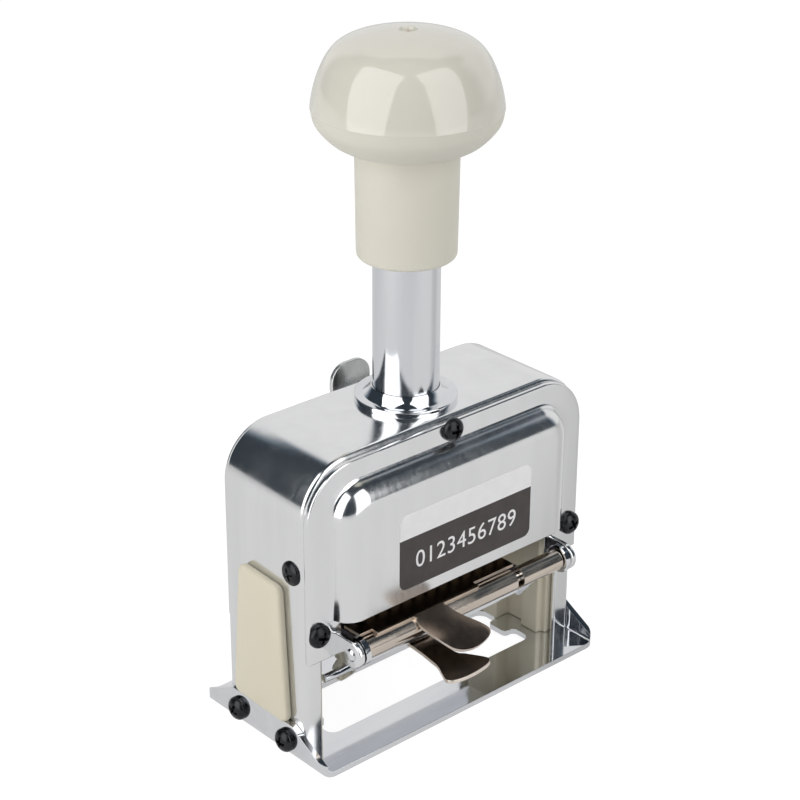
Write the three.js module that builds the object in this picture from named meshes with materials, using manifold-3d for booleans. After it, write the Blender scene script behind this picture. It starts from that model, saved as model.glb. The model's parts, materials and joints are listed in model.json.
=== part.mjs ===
// An automatic numbering machine. Pressing the knob sends a head of number wheels down onto the paper,
// while the ink pad that touches the wheels at rest swings out to the front.
// Millimetres: X runs to the right, Y to the back and Z up. The front is at -Y, and Z is zero at the desk.
import * as THREE from "three";
import { mergeVertices } from "three/addons/utils/BufferGeometryUtils.js";
import Module from "manifold-3d";

const wasm = await Module();
wasm.setup();

// Gaps and cuts
const runningGap = 0.12;
const looseGap = 0.3;
const overrun = 1;
const weldDistance = 1e-4;

// Frame: an arch of polished strip, with a flange along its front and back edges
const frameWidth = 88;
const frameDepth = 28.8;
const frameTop = 76.8;
const frameWall = 1.5;
const frameCorner = 13.6;
const flangeWidth = 5;

// Base plate with an upright ear at each end
const baseSheet = 1.5;
const baseDepth = 46.7;
const baseCorner = 4;
const earWall = 1.6;
const earHeight = 8.4;
const earLevel = 22.4;
const earScrewInset = 5.4;
const earScrewHeight = 4.9;
const windowMargin = 10.5;
const windowFront = -11.35;
const windowBack = 7.2;
const windowCorner = 2.4;
const tongueReach = 3.2;
const tongueWidth = 6.4;
const tongueCorner = 1.2;

// Covers: pressed plates with a raised panel; the back one is thinner and lies inside the frame's outline
const coverLip = 0.6;
const coverSheet = 1.6;
const backInset = 0.9;
const backSheet = 1;
const coverEdge = 0.6;
const coverBottom = 27;
const panelMargin = 7.5;
const panelTop = 68.6;
const panelCorner = 7.5;
const panelDepth = 4.7;
const panelRound = 3.6;
const panelWall = 1.1;
const lugSheet = 1.6;
const lugRadius = 3.5;
const lugInset = 0.9;
const coverScrewTop = 72.5;
const coverScrewInset = 3;
const backScrewInset = 3.3;
const coverScrewRise = 8.4;

// Knob, sleeve and plunger
const tubeRadius = 8;
const tubeWall = 1.2;
const tubeInset = 14.3;
const sleeveBottom = 113;
const sleeveLength = 24;
const sleeveRadius = 12.1;
const sleeveTaper = 0.3;
const knobRadius = 22;
const knobRise = 29.3;
const dimpleRadius = 2.2;
const dimpleDepth = 0.7;
const collarRadius = 12.4;
const collarHeight = 1.5;
const collarBody = 8.9;
const collarLength = 7;
const collarEdge = 0.35;
const neckFoot = 10.3;
const neckRise = 2.1;
const neckWall = 0.3;
const nutWall = 1.4;
const nutHeight = 3;

// Number wheels on their axle
const printLine = -2.2;
const wheelRadius = 10.5;
const wheelRoot = 9.7;
const wheelRest = 37.5;
const headMargin = 20.6;
const wheelGap = 0.2;
const ratchetWidth = 1.1;
const ratchetTip = 8.7;
const ratchetRoot = 7.6;
const axleRadius = 2;
const wheelCount = 12;
const digitCount = 10;
const blockShare = 0.36;
const grooveShare = 0.42;
const toothShare = 0.85;

// Head: side plates with shoes that run in the guides, and a crosshead that carries the plunger
const plateSheet = 1.6;
const plateRadius = 8.6;
const plateFront = 8.8;
const plateBack = 9.6;
const crossheadBottom = 50.5;
const crossheadHeight = 3.5;
const bossRadius = 10.6;
const bossHeight = 9.5;
const shoeHeight = 18;
const shoeBottom = 31;
const detentSheet = 0.4;
const detentBottom = 43.8;
const detentFinger = 2.2;

// Feeding pawls behind the wheels
const carrierArm = 1;
const carrierRadius = 13.2;
const carrierHub = 4.4;
const carrierEnd = 1.9;
const bridgeRadius = 0.9;
const carrierAngle = 20;
const bridgeLead = 13;
const pawlLeadAngle = 34;
const pawlShaftRadius = 0.8;
const pawlHub = 1.6;
const pawlFinger = 0.6;
const pawlSheet = 0.8;
const pawlTipGap = 0.35;

// Guides: a cream moulding inside each leg, with a pad that shows outside
const railEdge = 11.1;
const guideReach = 6.4;
const guideTop = 56;
const guideClear = 0.5;
const railFrontReach = 1.7;
const railRearReach = 4.5;
const channelWidth = 6.2;
const railRearLift = 2.6;
const padProud = 2.2;
const padBottom = 9;
const padTop = 46.7;
const padCentre = -0.9;
const padHalfBottom = 10.8;
const padHalfTop = 8;
const padCorner = 2;
const padEdge = 0.8;
const padWindowInset = 1.4;

// Ink pad holder on its rod
const rodY = -21;
const rodRise = 2.3;
const lidRoom = 7.3;
const rodRadius = 1.3;
const rodHead = 1.65;
const rodHeadDepth = 0.6;
const barrelRadius = 2.65;
const barrelSlotInset = 13.9;
const barrelSlotWidth = 1.7;
const armSheet = 1.5;
const armRadius = 3.6;
const rightArmHalf = 1.8;
const trayOverhang = 3.2;
const trayFront = -14.2;
const trayBack = 3.6;
const inkPadHeight = 6.1;
const traySheet = 0.9;
const trayWallDrop = 1.3;
const trayBarRadius = 1.1;
const trayBarInset = 1;
const inkPadInset = 0.4;
const lidSheet = 0.7;
const lidBack = -14.3;
const lidInset = 0.1;
const lidNotchInset = 3.9;
const lidNotchRight = 4.4;
const lidEndsBack = 1.2;
const lidFrontAngle = 106;
const tabSheet = 0.6;
const tabRoot = -11.5;
const tabRootWidth = 9.2;
const tabLobe = -8;
const tabLobeWidth = 14.4;
const tabEnd = -33.6;
const tabDrop = 3.5;
const lowerTabStart = -8.6;
const lowerTabDip = 1.2;
const lowerTabLobe = -5.6;
const lowerTabLobeWidth = 12.6;
const lowerTabWidth = 6.4;
const lowerTabCentre = -7.6;
const rivetInset = 3.4;
const rivetRadius = 0.9;
const rivetHead = 1.7;
const rivetHeight = 0.6;

// Screws
const screwHeadRadius = 2.95;
const screwHeadHeight = 2.3;
const screwShank = 1.45;
const screwHole = 1.65;
const screwLength = 3.3;
const backScrewLength = 2.7;
const baseScrewLength = 6;
const sideScrewHead = 3.1;
const sideScrewRise = 2.9;
const sideScrewInset = 4.1;
const sideScrewLength = 5.5;
const sideScrewHeadHeight = 1.7;
const knobScrewRadius = 1.9;
const knobScrewLength = 5;
const knobScrewHeadHeight = 0.5;

// Counter lever at the back
const leverPivotDrop = 12.6;
const leverReach = 22.6;
const leverSheet = 1.2;
const leverWidth = 6;
const leverTabWidth = 12.7;
const leverTabHeight = 8;
const tabCornerShare = 0.36;
const leverHub = 5.2;
const leverRivet = 2;
const leverRivetHead = 3.4;
const leverRivetHeadHeight = 1.2;

// Return springs between the crosshead and the frame's top
const springRadius = 3.4;
const returnWire = 0.5;
const springOffset = 20;
const springCurls = 7;

// Roundness of the turned and rounded forms
const roundSteps = 28;
const boreSteps = 16;
const smallSteps = 10;
const arcSteps = 5;

// Materials
function finish(color, metalness, roughness) {
  return new THREE.MeshStandardMaterial({ color, metalness, roughness });
}
const polished = finish(0xd3d6d8, 1, 0.22);
const chrome = finish(0xc9ccd0, 1, 0.08);
const bronze = finish(0x4a3c32, 1, 0.28);
const cream = finish(0xd9d5c8, 0, 0.35);
const creamPad = finish(0xcfc8b8, 0, 0.5);
const black = finish(0x17181a, 0.6, 0.4);
const steel = finish(0x9a9da1, 1, 0.35);
const brass = finish(0xb79a5c, 1, 0.35);
const felt = finish(0x24242c, 0, 0.95);

// Turns a closed three.js geometry into a solid that can be joined and cut.
function solid(geometry) {
  const loose = geometry.index ? geometry.toNonIndexed() : geometry;
  const bare = new THREE.BufferGeometry().setAttribute("position", loose.getAttribute("position"));
  const merged = mergeVertices(bare, weldDistance);
  const corners = [];
  const index = merged.index.array;
  for (let i = 0; i < index.length; i += 3) {
    const [a, b, c] = [index[i], index[i + 1], index[i + 2]];
    if (a !== b && b !== c && c !== a) corners.push(a, b, c);
  }
  const vertProperties = merged.attributes.position.array;
  const build = (list) =>
    new wasm.Manifold(new wasm.Mesh({ numProp: 3, vertProperties, triVerts: new Uint32Array(list) }));
  const made = build(corners);
  return made.volume() > 0 ? made : build(corners.reverse());
}

// A named mesh of one solid.
function piece(name, body, material) {
  const { numProp, vertProperties, triVerts } = body.getMesh();
  const geometry = new THREE.BufferGeometry();
  geometry.setAttribute("position", new THREE.BufferAttribute(new Float32Array(vertProperties), numProp));
  geometry.setIndex(new THREE.BufferAttribute(new Uint32Array(triVerts), 1));
  geometry.computeVertexNormals();
  const mesh = new THREE.Mesh(geometry, material);
  mesh.name = name;
  return mesh;
}

const axisX = new THREE.Vector3(1, 0, 0);
const axisY = new THREE.Vector3(0, 1, 0);
const axisZ = new THREE.Vector3(0, 0, 1);

// Extrudes an outline drawn in X and Z along Y.
function alongY(shape, low, high, bevel = {}) {
  const turn = new THREE.Matrix4().makeBasis(axisX, axisZ, axisY.clone().negate());
  const made = new THREE.ExtrudeGeometry(shape, extrusion(high - low, bevel));
  return solid(made.applyMatrix4(turn).translate(0, high, 0));
}

// Extrudes an outline drawn in Y and Z along X.
function alongX(shape, low, high, bevel = {}) {
  const turn = new THREE.Matrix4().makeBasis(axisY, axisZ, axisX);
  const made = new THREE.ExtrudeGeometry(shape, extrusion(high - low, bevel));
  return solid(made.applyMatrix4(turn).translate(low, 0, 0));
}

// Extrudes an outline drawn in X and Y upwards.
function alongZ(shape, low, high, bevel = {}) {
  const made = new THREE.ExtrudeGeometry(shape, extrusion(high - low, bevel));
  return solid(made.translate(0, 0, low));
}

function extrusion(depth, bevel) {
  return { depth, steps: 1, bevelEnabled: false, curveSegments: arcSteps, ...bevel };
}

// A bar between two opposite corners.
function bar(low, high) {
  const size = high.map((value, i) => value - low[i]);
  const made = new THREE.BoxGeometry(...size);
  return solid(made.translate(...low.map((value, i) => value + size[i] / 2)));
}

// A round bar along X, Y or Z, from one place on that axis to another, through a given centre.
function round(axis, radius, low, high, centre, steps = roundSteps) {
  const made = new THREE.CylinderGeometry(radius, radius, high - low, steps);
  const middle = (low + high) / 2;
  if (axis === "x") made.rotateZ(Math.PI / 2).translate(middle, centre[0], centre[1]);
  if (axis === "y") made.translate(centre[0], middle, centre[1]);
  if (axis === "z") made.rotateX(Math.PI / 2).translate(centre[0], centre[1], middle);
  return solid(made);
}

// Turns a profile of [radius, height] points about Z.
function turned(profile, steps = roundSteps) {
  const points = profile.map(([radius, height]) => new THREE.Vector2(radius, height));
  return solid(new THREE.LatheGeometry(points, steps).rotateX(Math.PI / 2));
}

// The same for a ring, whose profile closes on itself.
function turnedRing(profile, steps = roundSteps) {
  return turned([...profile, profile[0]], steps);
}

function join(...solids) {
  return solids.reduce((sum, next) => sum.add(next));
}

function cut(body, ...tools) {
  return tools.reduce((rest, tool) => rest.subtract(tool), body);
}

// An arch outline: straight legs and two rounded upper corners.
function archShape(halfWidth, bottom, top, corner) {
  const shape = new THREE.Shape();
  shape.moveTo(-halfWidth, bottom);
  shape.lineTo(-halfWidth, top - corner);
  shape.absarc(corner - halfWidth, top - corner, corner, Math.PI, Math.PI / 2, true);
  shape.lineTo(halfWidth - corner, top);
  shape.absarc(halfWidth - corner, top - corner, corner, Math.PI / 2, 0, true);
  shape.lineTo(halfWidth, bottom);
  return shape;
}

// A rounded rectangle.
function slabShape(left, right, low, high, corner) {
  const shape = new THREE.Shape();
  shape.moveTo(left + corner, low);
  shape.lineTo(right - corner, low);
  shape.absarc(right - corner, low + corner, corner, -Math.PI / 2, 0, false);
  shape.lineTo(right, high - corner);
  shape.absarc(right - corner, high - corner, corner, 0, Math.PI / 2, false);
  shape.lineTo(left + corner, high);
  shape.absarc(left + corner, high - corner, corner, Math.PI / 2, Math.PI, false);
  shape.lineTo(left, low + corner);
  shape.absarc(left + corner, low + corner, corner, Math.PI, Math.PI * 1.5, false);
  return shape;
}

// A polygon through points given in order.
function polygon(points) {
  return new THREE.Shape(points.map(([a, b]) => new THREE.Vector2(a, b)));
}

// A strip of sheet that follows stations of [y, z, left, right] and hangs its thickness below them.
function ribbon(stations, thickness) {
  const corners = [];
  stations.forEach(([y, z, left, right], i) => {
    const before = stations[Math.max(i - 1, 0)];
    const after = stations[Math.min(i + 1, stations.length - 1)];
    const along = new THREE.Vector2(after[0] - before[0], after[1] - before[1]).normalize();
    const down = along.x < 0 ? [along.y, -along.x] : [-along.y, along.x];
    const [dy, dz] = down.map((value) => -value * thickness);
    corners.push([left, y, z], [right, y, z], [right, y + dy, z + dz], [left, y + dy, z + dz]);
  });
  const ring = 4;
  const faces = [];
  const quad = (a, b, c, d) => faces.push(a, b, c, a, c, d);
  for (let i = 0; i + 1 < stations.length; i++)
    for (let k = 0; k < ring; k++) {
      const next = (k + 1) % ring;
      quad(ring * i + k, ring * i + next, ring * (i + 1) + next, ring * (i + 1) + k);
    }
  quad(3, 2, 1, 0);
  const last = ring * (stations.length - 1);
  quad(last, last + 1, last + 2, last + 3);
  const geometry = new THREE.BufferGeometry();
  geometry.setAttribute("position", new THREE.Float32BufferAttribute(corners.flat(), 3));
  geometry.setIndex(faces);
  return solid(geometry);
}

const machine = new THREE.Group();

const rimShare = 0.3;

// Screws: a domed head and a plain shank that stand along Z, with the head's underside at zero.
function screwSolid(headRadius, headHeight, shank, length) {
  const domeShares = [0, 0.45, 0.8, 1];
  const dome = domeShares.map((share) => {
    const angle = (share * Math.PI) / 2;
    return [headRadius * Math.cos(angle), headHeight * (rimShare + (1 - rimShare) * Math.sin(angle))];
  });
  const profile = [[0, -length], [shank, -length], [shank, 0], [headRadius, 0], ...dome];
  return turned(profile, smallSteps);
}

// Places a screw with its head facing along an axis.
function screw(name, body, place, facing) {
  const made = piece(name, body, black);
  made.quaternion.setFromUnitVectors(axisZ, facing);
  made.position.set(...place);
  machine.add(made);
}

const halfWidth = frameWidth / 2;
const halfDepth = frameDepth / 2;
const windowHalfLength = halfWidth - windowMargin;
const panelWidth = frameWidth - panelMargin * 2;
const lugOuter = panelWidth / 2 - lugInset;
const coverScrewSide = halfWidth - coverScrewInset;
const backScrewSide = halfWidth - backScrewInset;
const guideInner = halfWidth - guideReach;
const railFront = guideInner - railFrontReach;
const railRear = guideInner - railRearReach;
const wheelPitch = (frameWidth - headMargin * 2) / wheelCount;
const wheelPack = (wheelCount * wheelPitch) / 2;
const rodHeight = coverBottom + rodRise;
const panelBottom = rodHeight + lidRoom;
const leverPivotHeight = panelTop - leverPivotDrop;
const sideScrewHeight = padTop + sideScrewRise;
const sleeveTop = sleeveBottom + sleeveLength;
const knobTop = sleeveTop + knobRise;
const tubeTop = knobTop - tubeInset;
const nutFlat = collarBody + nutWall;
const inkPadTop = wheelRest - wheelRadius - looseGap;
const trayFloor = inkPadTop - inkPadHeight;
const trayWallTop = inkPadTop - trayWallDrop;

// Frame
const guideBack = halfDepth - frameWall - guideClear;
const guideFront = -guideBack;
const guidePadOutline = (inset) => {
  const low = padBottom + inset;
  const high = padTop - inset;
  const bottomHalf = padHalfBottom - inset;
  const topHalf = padHalfTop - inset;
  return polygon([
    [padCentre - bottomHalf, low],
    [padCentre + bottomHalf, low],
    [padCentre + topHalf, high],
    [padCentre - topHalf, high],
  ]);
};
const earScrewPlaces = [earScrewInset - halfDepth, halfDepth - earScrewInset];
const sideScrewY = sideScrewInset - halfDepth;
const coverScrewPlaces = (side) => [
  [0, coverScrewTop],
  [-side, coverBottom + coverScrewRise],
  [side, coverBottom + coverScrewRise],
];

function screwHolesAcross(inner, outer) {
  const holes = [];
  for (const y of earScrewPlaces)
    holes.push(round("x", screwHole, inner, outer, [y, earScrewHeight], smallSteps));
  holes.push(round("x", screwHole, inner, outer, [sideScrewY, sideScrewHeight], smallSteps));
  return holes;
}

function frameSolid() {
  const outside = alongY(archShape(halfWidth, baseSheet, frameTop, frameCorner), -halfDepth, halfDepth);
  const low = baseSheet - overrun;
  const hollow = alongY(
    archShape(halfWidth - frameWall, low, frameTop - frameWall, frameCorner - frameWall),
    frameWall - halfDepth,
    halfDepth - frameWall,
  );
  const mouth = alongY(
    archShape(halfWidth - flangeWidth, low, frameTop - flangeWidth, frameCorner - flangeWidth),
    -halfDepth - overrun,
    halfDepth + overrun,
  );
  const holeLow = frameTop - frameWall - overrun;
  const collarHole = round("z", collarBody + looseGap, holeLow, frameTop + overrun, [0, 0]);
  const wallIn = halfWidth - frameWall - overrun;
  const wallOut = halfWidth + overrun;
  const padWindows = [
    alongX(guidePadOutline(padWindowInset), wallIn, wallOut),
    alongX(guidePadOutline(padWindowInset), -wallOut, -wallIn),
  ];
  const sideHoles = [...screwHolesAcross(wallIn, wallOut), ...screwHolesAcross(-wallOut, -wallIn)];
  const frontHoles = coverScrewPlaces(coverScrewSide).map((place) =>
    round("y", screwHole, -halfDepth - overrun, 0, place, smallSteps),
  );
  const backHoles = coverScrewPlaces(backScrewSide).map((place) =>
    round("y", screwHole, 0, halfDepth + overrun, place, smallSteps),
  );
  const holes = [collarHole, ...padWindows, ...sideHoles, ...frontHoles, ...backHoles];
  return cut(outside, hollow, mouth, ...holes);
}
machine.add(piece("frame", frameSolid(), polished));

// Base plate
const earOuter = halfWidth + earWall;
function basePlateSolid() {
  const half = baseDepth / 2;
  const outline = slabShape(-earOuter, earOuter, -half, half, baseCorner);
  const sheet = alongZ(outline, 0, baseSheet);
  const earOutline = polygon([
    [-half, 0],
    [half, 0],
    [half, baseSheet],
    [earLevel / 2, earHeight],
    [-earLevel / 2, earHeight],
    [-half, baseSheet],
  ]);
  const room = alongZ(outline, 0, earHeight);
  const ears = [alongX(earOutline, halfWidth, earOuter), alongX(earOutline, -earOuter, -halfWidth)];
  const window = alongZ(
    slabShape(-windowHalfLength, windowHalfLength, windowFront, windowBack, windowCorner),
    -overrun,
    baseSheet + overrun,
  );
  const tongues = [-1, 1].map((side) => {
    const tip = windowHalfLength - tongueReach;
    const root = windowHalfLength + overrun;
    const [left, right] = side < 0 ? [-root, -tip] : [tip, root];
    const low = printLine - tongueWidth / 2;
    const outline = slabShape(left, right, low, low + tongueWidth, tongueCorner);
    return alongZ(outline, -overrun, baseSheet + overrun);
  });
  const opening = cut(window, ...tongues);
  const holes = earScrewPlaces.map((y) =>
    round("x", screwHole, -earOuter - overrun, earOuter + overrun, [y, earScrewHeight], smallSteps),
  );
  return cut(join(sheet, ...ears.map((ear) => ear.intersect(room))), opening, ...holes);
}
machine.add(piece("base_plate", basePlateSolid(), chrome));

// Covers, both drawn for the front; the back one is turned round
const frontForm = { lip: coverLip, face: halfDepth + coverSheet, screwSide: coverScrewSide };
const backForm = { lip: -backInset, face: halfDepth + backSheet, screwSide: backScrewSide };
const panelFace = frontForm.face + panelDepth;
const lugInner = lugOuter - lugSheet;

function panelSolid(inset, depth, low) {
  const half = panelWidth / 2 - panelRound - inset;
  const corner = panelCorner - panelRound;
  const outline = slabShape(-half, half, low, panelTop - panelRound - inset, corner);
  const bevel = {
    bevelEnabled: true,
    bevelThickness: panelRound,
    bevelSize: panelRound,
    bevelOffset: 0,
    bevelSegments: 3,
  };
  return alongY(outline, panelRound - depth, -halfDepth, bevel);
}

function coverSolid({ lip, face, screwSide }) {
  const half = halfWidth + lip;
  const outline = archShape(
    half - coverEdge,
    coverBottom + coverEdge,
    frameTop + lip - coverEdge,
    frameCorner + lip - coverEdge,
  );
  const edge = {
    bevelEnabled: true,
    bevelThickness: coverEdge,
    bevelSize: coverEdge,
    bevelOffset: 0,
    bevelSegments: 2,
  };
  const plate = alongY(outline, coverEdge - face, -halfDepth, edge);
  const behind = bar([-half - overrun, -halfDepth, 0], [half + overrun, halfDepth, frameTop + overrun + lip]);
  const below = bar([-half, -panelFace - overrun, 0], [half, -face, panelBottom]);
  const raised = cut(panelSolid(0, panelFace, panelBottom - panelRound), below);
  const hollow = panelSolid(panelWall, panelFace - panelWall, coverBottom - panelRound - overrun);
  const doorwayLow = coverBottom - overrun;
  const doorway = bar([-lugInner, -face - overrun, doorwayLow], [lugInner, -halfDepth, panelBottom]);
  const holes = coverScrewPlaces(screwSide).map((place) =>
    round("y", screwHole, -face - overrun, -halfDepth + overrun, place, smallSteps),
  );
  return cut(join(cut(plate, behind), cut(raised, behind)), hollow, doorway, ...holes);
}

// A lug bent forward from the cover's lower corner, with the hole for the rod.
function lugSolid(side) {
  const shape = new THREE.Shape();
  shape.moveTo(coverEdge - frontForm.face, rodHeight - lugRadius);
  shape.lineTo(coverEdge - frontForm.face, rodHeight + lugRadius);
  shape.lineTo(rodY, rodHeight + lugRadius);
  shape.absarc(rodY, rodHeight, lugRadius, Math.PI / 2, Math.PI * 1.5, false);
  const [low, high] = side > 0 ? [lugInner, lugOuter] : [-lugOuter, -lugInner];
  return cut(alongX(shape, low, high), boreAlongX(low, high));
}

// The hole for the rod, through sheets that stand between two places on X.
function boreAlongX(low, high) {
  return round("x", rodRadius + runningGap, low - overrun, high + overrun, [rodY, rodHeight], smallSteps);
}
machine.add(piece("front_cover", join(coverSolid(frontForm), lugSolid(1), lugSolid(-1)), polished));
const leverPlace = [0, leverPivotHeight];
const leverHole = round("y", leverRivet + runningGap, -panelFace - overrun, 0, leverPlace, smallSteps);
const backCover = piece("back_cover", cut(coverSolid(backForm), leverHole), polished);
backCover.rotation.z = Math.PI;
machine.add(backCover);

// Cover, ear and side screws
const frontScrew = screwSolid(screwHeadRadius, screwHeadHeight, screwShank, screwLength);
const backScrew = screwSolid(screwHeadRadius, screwHeadHeight, screwShank, backScrewLength);
const baseScrew = screwSolid(screwHeadRadius, screwHeadHeight, screwShank, baseScrewLength);
const sideScrew = screwSolid(sideScrewHead, sideScrewHeadHeight, screwShank, sideScrewLength);
const screwSites = ["top", "left", "right"];
const forward = axisY.clone().negate();
coverScrewPlaces(coverScrewSide).forEach(([x, z], i) => {
  screw(`front_screw_${screwSites[i]}`, frontScrew, [x, -frontForm.face, z], forward);
});
coverScrewPlaces(backScrewSide).forEach(([x, z], i) => {
  screw(`back_screw_${screwSites[i]}`, backScrew, [x, backForm.face, z], axisY);
});
for (const [side, word] of [[-1, "left"], [1, "right"]]) {
  const facing = axisX.clone().multiplyScalar(side);
  screw(`base_screw_${word}_front`, baseScrew, [side * earOuter, earScrewPlaces[0], earScrewHeight], facing);
  screw(`base_screw_${word}_back`, baseScrew, [side * earOuter, earScrewPlaces[1], earScrewHeight], facing);
  screw(`side_screw_${word}`, sideScrew, [side * halfWidth, sideScrewY, sideScrewHeight], facing);
}

// Guides
function guideSolid(side) {
  const wall = halfWidth - frameWall;
  const channelFront = printLine - channelWidth / 2;
  const channelBack = printLine + channelWidth / 2;
  const body = bar([guideInner, guideFront, baseSheet], [wall, guideBack, guideTop]);
  const frontRail = bar([railFront, -railEdge, baseSheet], [guideInner, channelFront, guideTop]);
  const rearRail = bar([railRear, channelBack, baseSheet + railRearLift], [guideInner, railEdge, guideTop]);
  const neck = alongX(guidePadOutline(padWindowInset + looseGap), wall, halfWidth);
  const bevel = {
    bevelEnabled: true,
    bevelThickness: padEdge,
    bevelSize: padEdge,
    bevelOffset: -padEdge,
    bevelSegments: 2,
  };
  const pad = alongX(roundedPad(), halfWidth, halfWidth + padProud - padEdge, bevel);
  const behind = bar([wall, guideFront - padCorner, 0], [halfWidth, guideBack + padCorner, guideTop]);
  const reach = sideScrewLength + looseGap;
  const earReach = earOuter - baseScrewLength - looseGap;
  const sockets = [
    round("x", screwHole, halfWidth - reach, halfWidth, [sideScrewY, sideScrewHeight], smallSteps),
    ...earScrewPlaces.map((y) => round("x", screwHole, earReach, halfWidth, [y, earScrewHeight], smallSteps)),
  ];
  const made = cut(join(body, frontRail, rearRail, neck, cut(pad, behind)), ...sockets);
  if (side > 0) return made;
  const mirrored = made.getMesh();
  const flipped = new Float32Array(mirrored.vertProperties).map((value, i) => (i % 3 ? value : -value));
  const geometry = new THREE.BufferGeometry().setAttribute("position", new THREE.BufferAttribute(flipped, 3));
  return solid(geometry.setIndex([...mirrored.triVerts]));
}

// The outside pad's outline: a trapezoid with rounded corners.
function roundedPad() {
  const corners = [
    [padCentre - padHalfBottom, padBottom],
    [padCentre + padHalfBottom, padBottom],
    [padCentre + padHalfTop, padTop],
    [padCentre - padHalfTop, padTop],
  ];
  const shape = new THREE.Shape();
  corners.forEach((corner, i) => {
    const here = new THREE.Vector2(...corner);
    const before = new THREE.Vector2(...corners[(i + 3) % 4]).sub(here).setLength(padCorner).add(here);
    const after = new THREE.Vector2(...corners[(i + 1) % 4]).sub(here).setLength(padCorner).add(here);
    if (i === 0) shape.moveTo(before.x, before.y);
    else shape.lineTo(before.x, before.y);
    shape.quadraticCurveTo(here.x, here.y, after.x, after.y);
  });
  return shape;
}
machine.add(piece("guide_left", guideSolid(-1), creamPad));
machine.add(piece("guide_right", guideSolid(1), creamPad));

// Collar that guides the plunger, with a flared neck, and the nut that holds it under the frame's top
const collarBore = tubeRadius + runningGap;
const collarTop = frameTop + collarHeight;
const neckShares = [0, 0.25, 0.5, 0.75, 1];
const neckBowShare = 0.08;
const neckSkin = neckShares.map((share) => {
  const inward = share + neckBowShare * Math.sin(share * Math.PI);
  return [neckFoot - (neckFoot - collarBore - neckWall) * inward, collarTop + neckRise * share];
});
const collarProfile = [
  [collarBore, frameTop - collarLength],
  [collarBody, frameTop - collarLength],
  [collarBody, frameTop],
  [collarRadius, frameTop],
  [collarRadius, collarTop - collarEdge],
  [collarRadius - collarEdge, collarTop],
  ...neckSkin,
  [collarBore, collarTop + neckRise],
];
machine.add(piece("collar", turnedRing(collarProfile), chrome));
const nutTop = frameTop - frameWall;
const hexSteps = 6;
const nutTurn = THREE.MathUtils.radToDeg(Math.PI / hexSteps);
const nutRadius = nutFlat / Math.cos(Math.PI / hexSteps);
const collarNut = cut(
  round("z", nutRadius, nutTop - nutHeight, nutTop, [0, 0], hexSteps).rotate([0, 0, nutTurn]),
  round("z", collarBody + looseGap, nutTop - nutHeight - overrun, nutTop + overrun, [0, 0]),
);
machine.add(piece("collar_nut", collarNut, steel));

// Plunger tube, sleeve, knob and its screw
const tubeInner = tubeRadius - tubeWall;
const tubeBottom = crossheadBottom + crossheadHeight / 2;
const tubeProfile = [
  [tubeInner, tubeBottom],
  [tubeRadius, tubeBottom],
  [tubeRadius, tubeTop],
  [tubeInner, tubeTop],
];
machine.add(piece("plunger_tube", turnedRing(tubeProfile), chrome));

const handleBore = tubeRadius + runningGap;
const sleeveProfile = [
  [handleBore, sleeveBottom],
  [sleeveRadius - sleeveTaper - coverEdge, sleeveBottom],
  [sleeveRadius - sleeveTaper, sleeveBottom + coverEdge],
  [sleeveRadius, sleeveTop],
  [handleBore, sleeveTop],
];
machine.add(piece("knob_sleeve", turnedRing(sleeveProfile), cream));

const knobRadiusShares = [0.56, 0.63, 0.76, 0.91, 0.975, 1, 0.975, 0.94, 0.895, 0.83, 0.745, 0.6, 0.37, 0.18];
const knobHeightShares = [0, 0.06, 0.12, 0.2, 0.29, 0.39, 0.53, 0.62, 0.7, 0.785, 0.855, 0.915, 0.97, 0.995];
const knobSkin = knobRadiusShares.map((share, i) => [
  share * knobRadius,
  sleeveTop + knobHeightShares[i] * knobRise,
]);
const knobProfile = [
  [handleBore, sleeveTop],
  ...knobSkin,
  [dimpleRadius, knobTop],
  [dimpleRadius, knobTop - dimpleDepth],
  [screwHole, knobTop - dimpleDepth],
  [screwHole, tubeTop + looseGap],
  [handleBore, tubeTop + looseGap],
];
machine.add(piece("knob_cap", turnedRing(knobProfile), cream));
const knobScrew = piece(
  "knob_screw",
  screwSolid(knobScrewRadius, knobScrewHeadHeight, screwShank, knobScrewLength),
  steel,
);
knobScrew.position.z = knobTop - dimpleDepth;
machine.add(knobScrew);

// Head plates with their shoes, the crosshead and the detent comb
const armInner = wheelPack + looseGap;
const plateInner = armInner + carrierArm + looseGap;
const plateOuter = plateInner + plateSheet;
const headFront = printLine - plateFront;
const headBack = printLine + plateBack;
const axleHole = axleRadius + runningGap;
const axleEnd = plateOuter + axleRadius;

function headPlateSolid(side) {
  const shape = new THREE.Shape();
  shape.moveTo(headFront, crossheadBottom);
  shape.lineTo(printLine - plateRadius, wheelRest);
  shape.absarc(printLine, wheelRest, plateRadius, Math.PI, Math.PI * 2, false);
  shape.lineTo(headBack, crossheadBottom);
  const span = (inner, outer) => (side > 0 ? [inner, outer] : [-outer, -inner]);
  const plate = alongX(shape, ...span(plateInner, plateOuter));
  const shoeHalf = channelWidth / 2 - looseGap;
  const [left, right] = span(plateInner, guideInner - looseGap);
  const shoe = bar(
    [left, printLine - shoeHalf, shoeBottom],
    [right, printLine + shoeHalf, shoeBottom + shoeHeight],
  );
  const [from, to] = span(plateInner - overrun, axleEnd + looseGap);
  return cut(join(plate, shoe), round("x", axleHole, from, to, [printLine, wheelRest], boreSteps));
}
machine.add(piece("head_plate_left", headPlateSolid(-1), steel));
machine.add(piece("head_plate_right", headPlateSolid(1), steel));

const crossheadTop = crossheadBottom + crossheadHeight;
function crossheadSolid() {
  const beam = bar([-plateOuter, headFront, crossheadBottom], [plateOuter, headBack, crossheadTop]);
  const boss = round("z", bossRadius, crossheadTop, crossheadBottom + bossHeight, [0, 0]);
  const socket = round("z", tubeRadius + looseGap, tubeBottom, crossheadTop + bossHeight, [0, 0]);
  return cut(join(beam, boss), socket);
}
machine.add(piece("crosshead", crossheadSolid(), steel));

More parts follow.
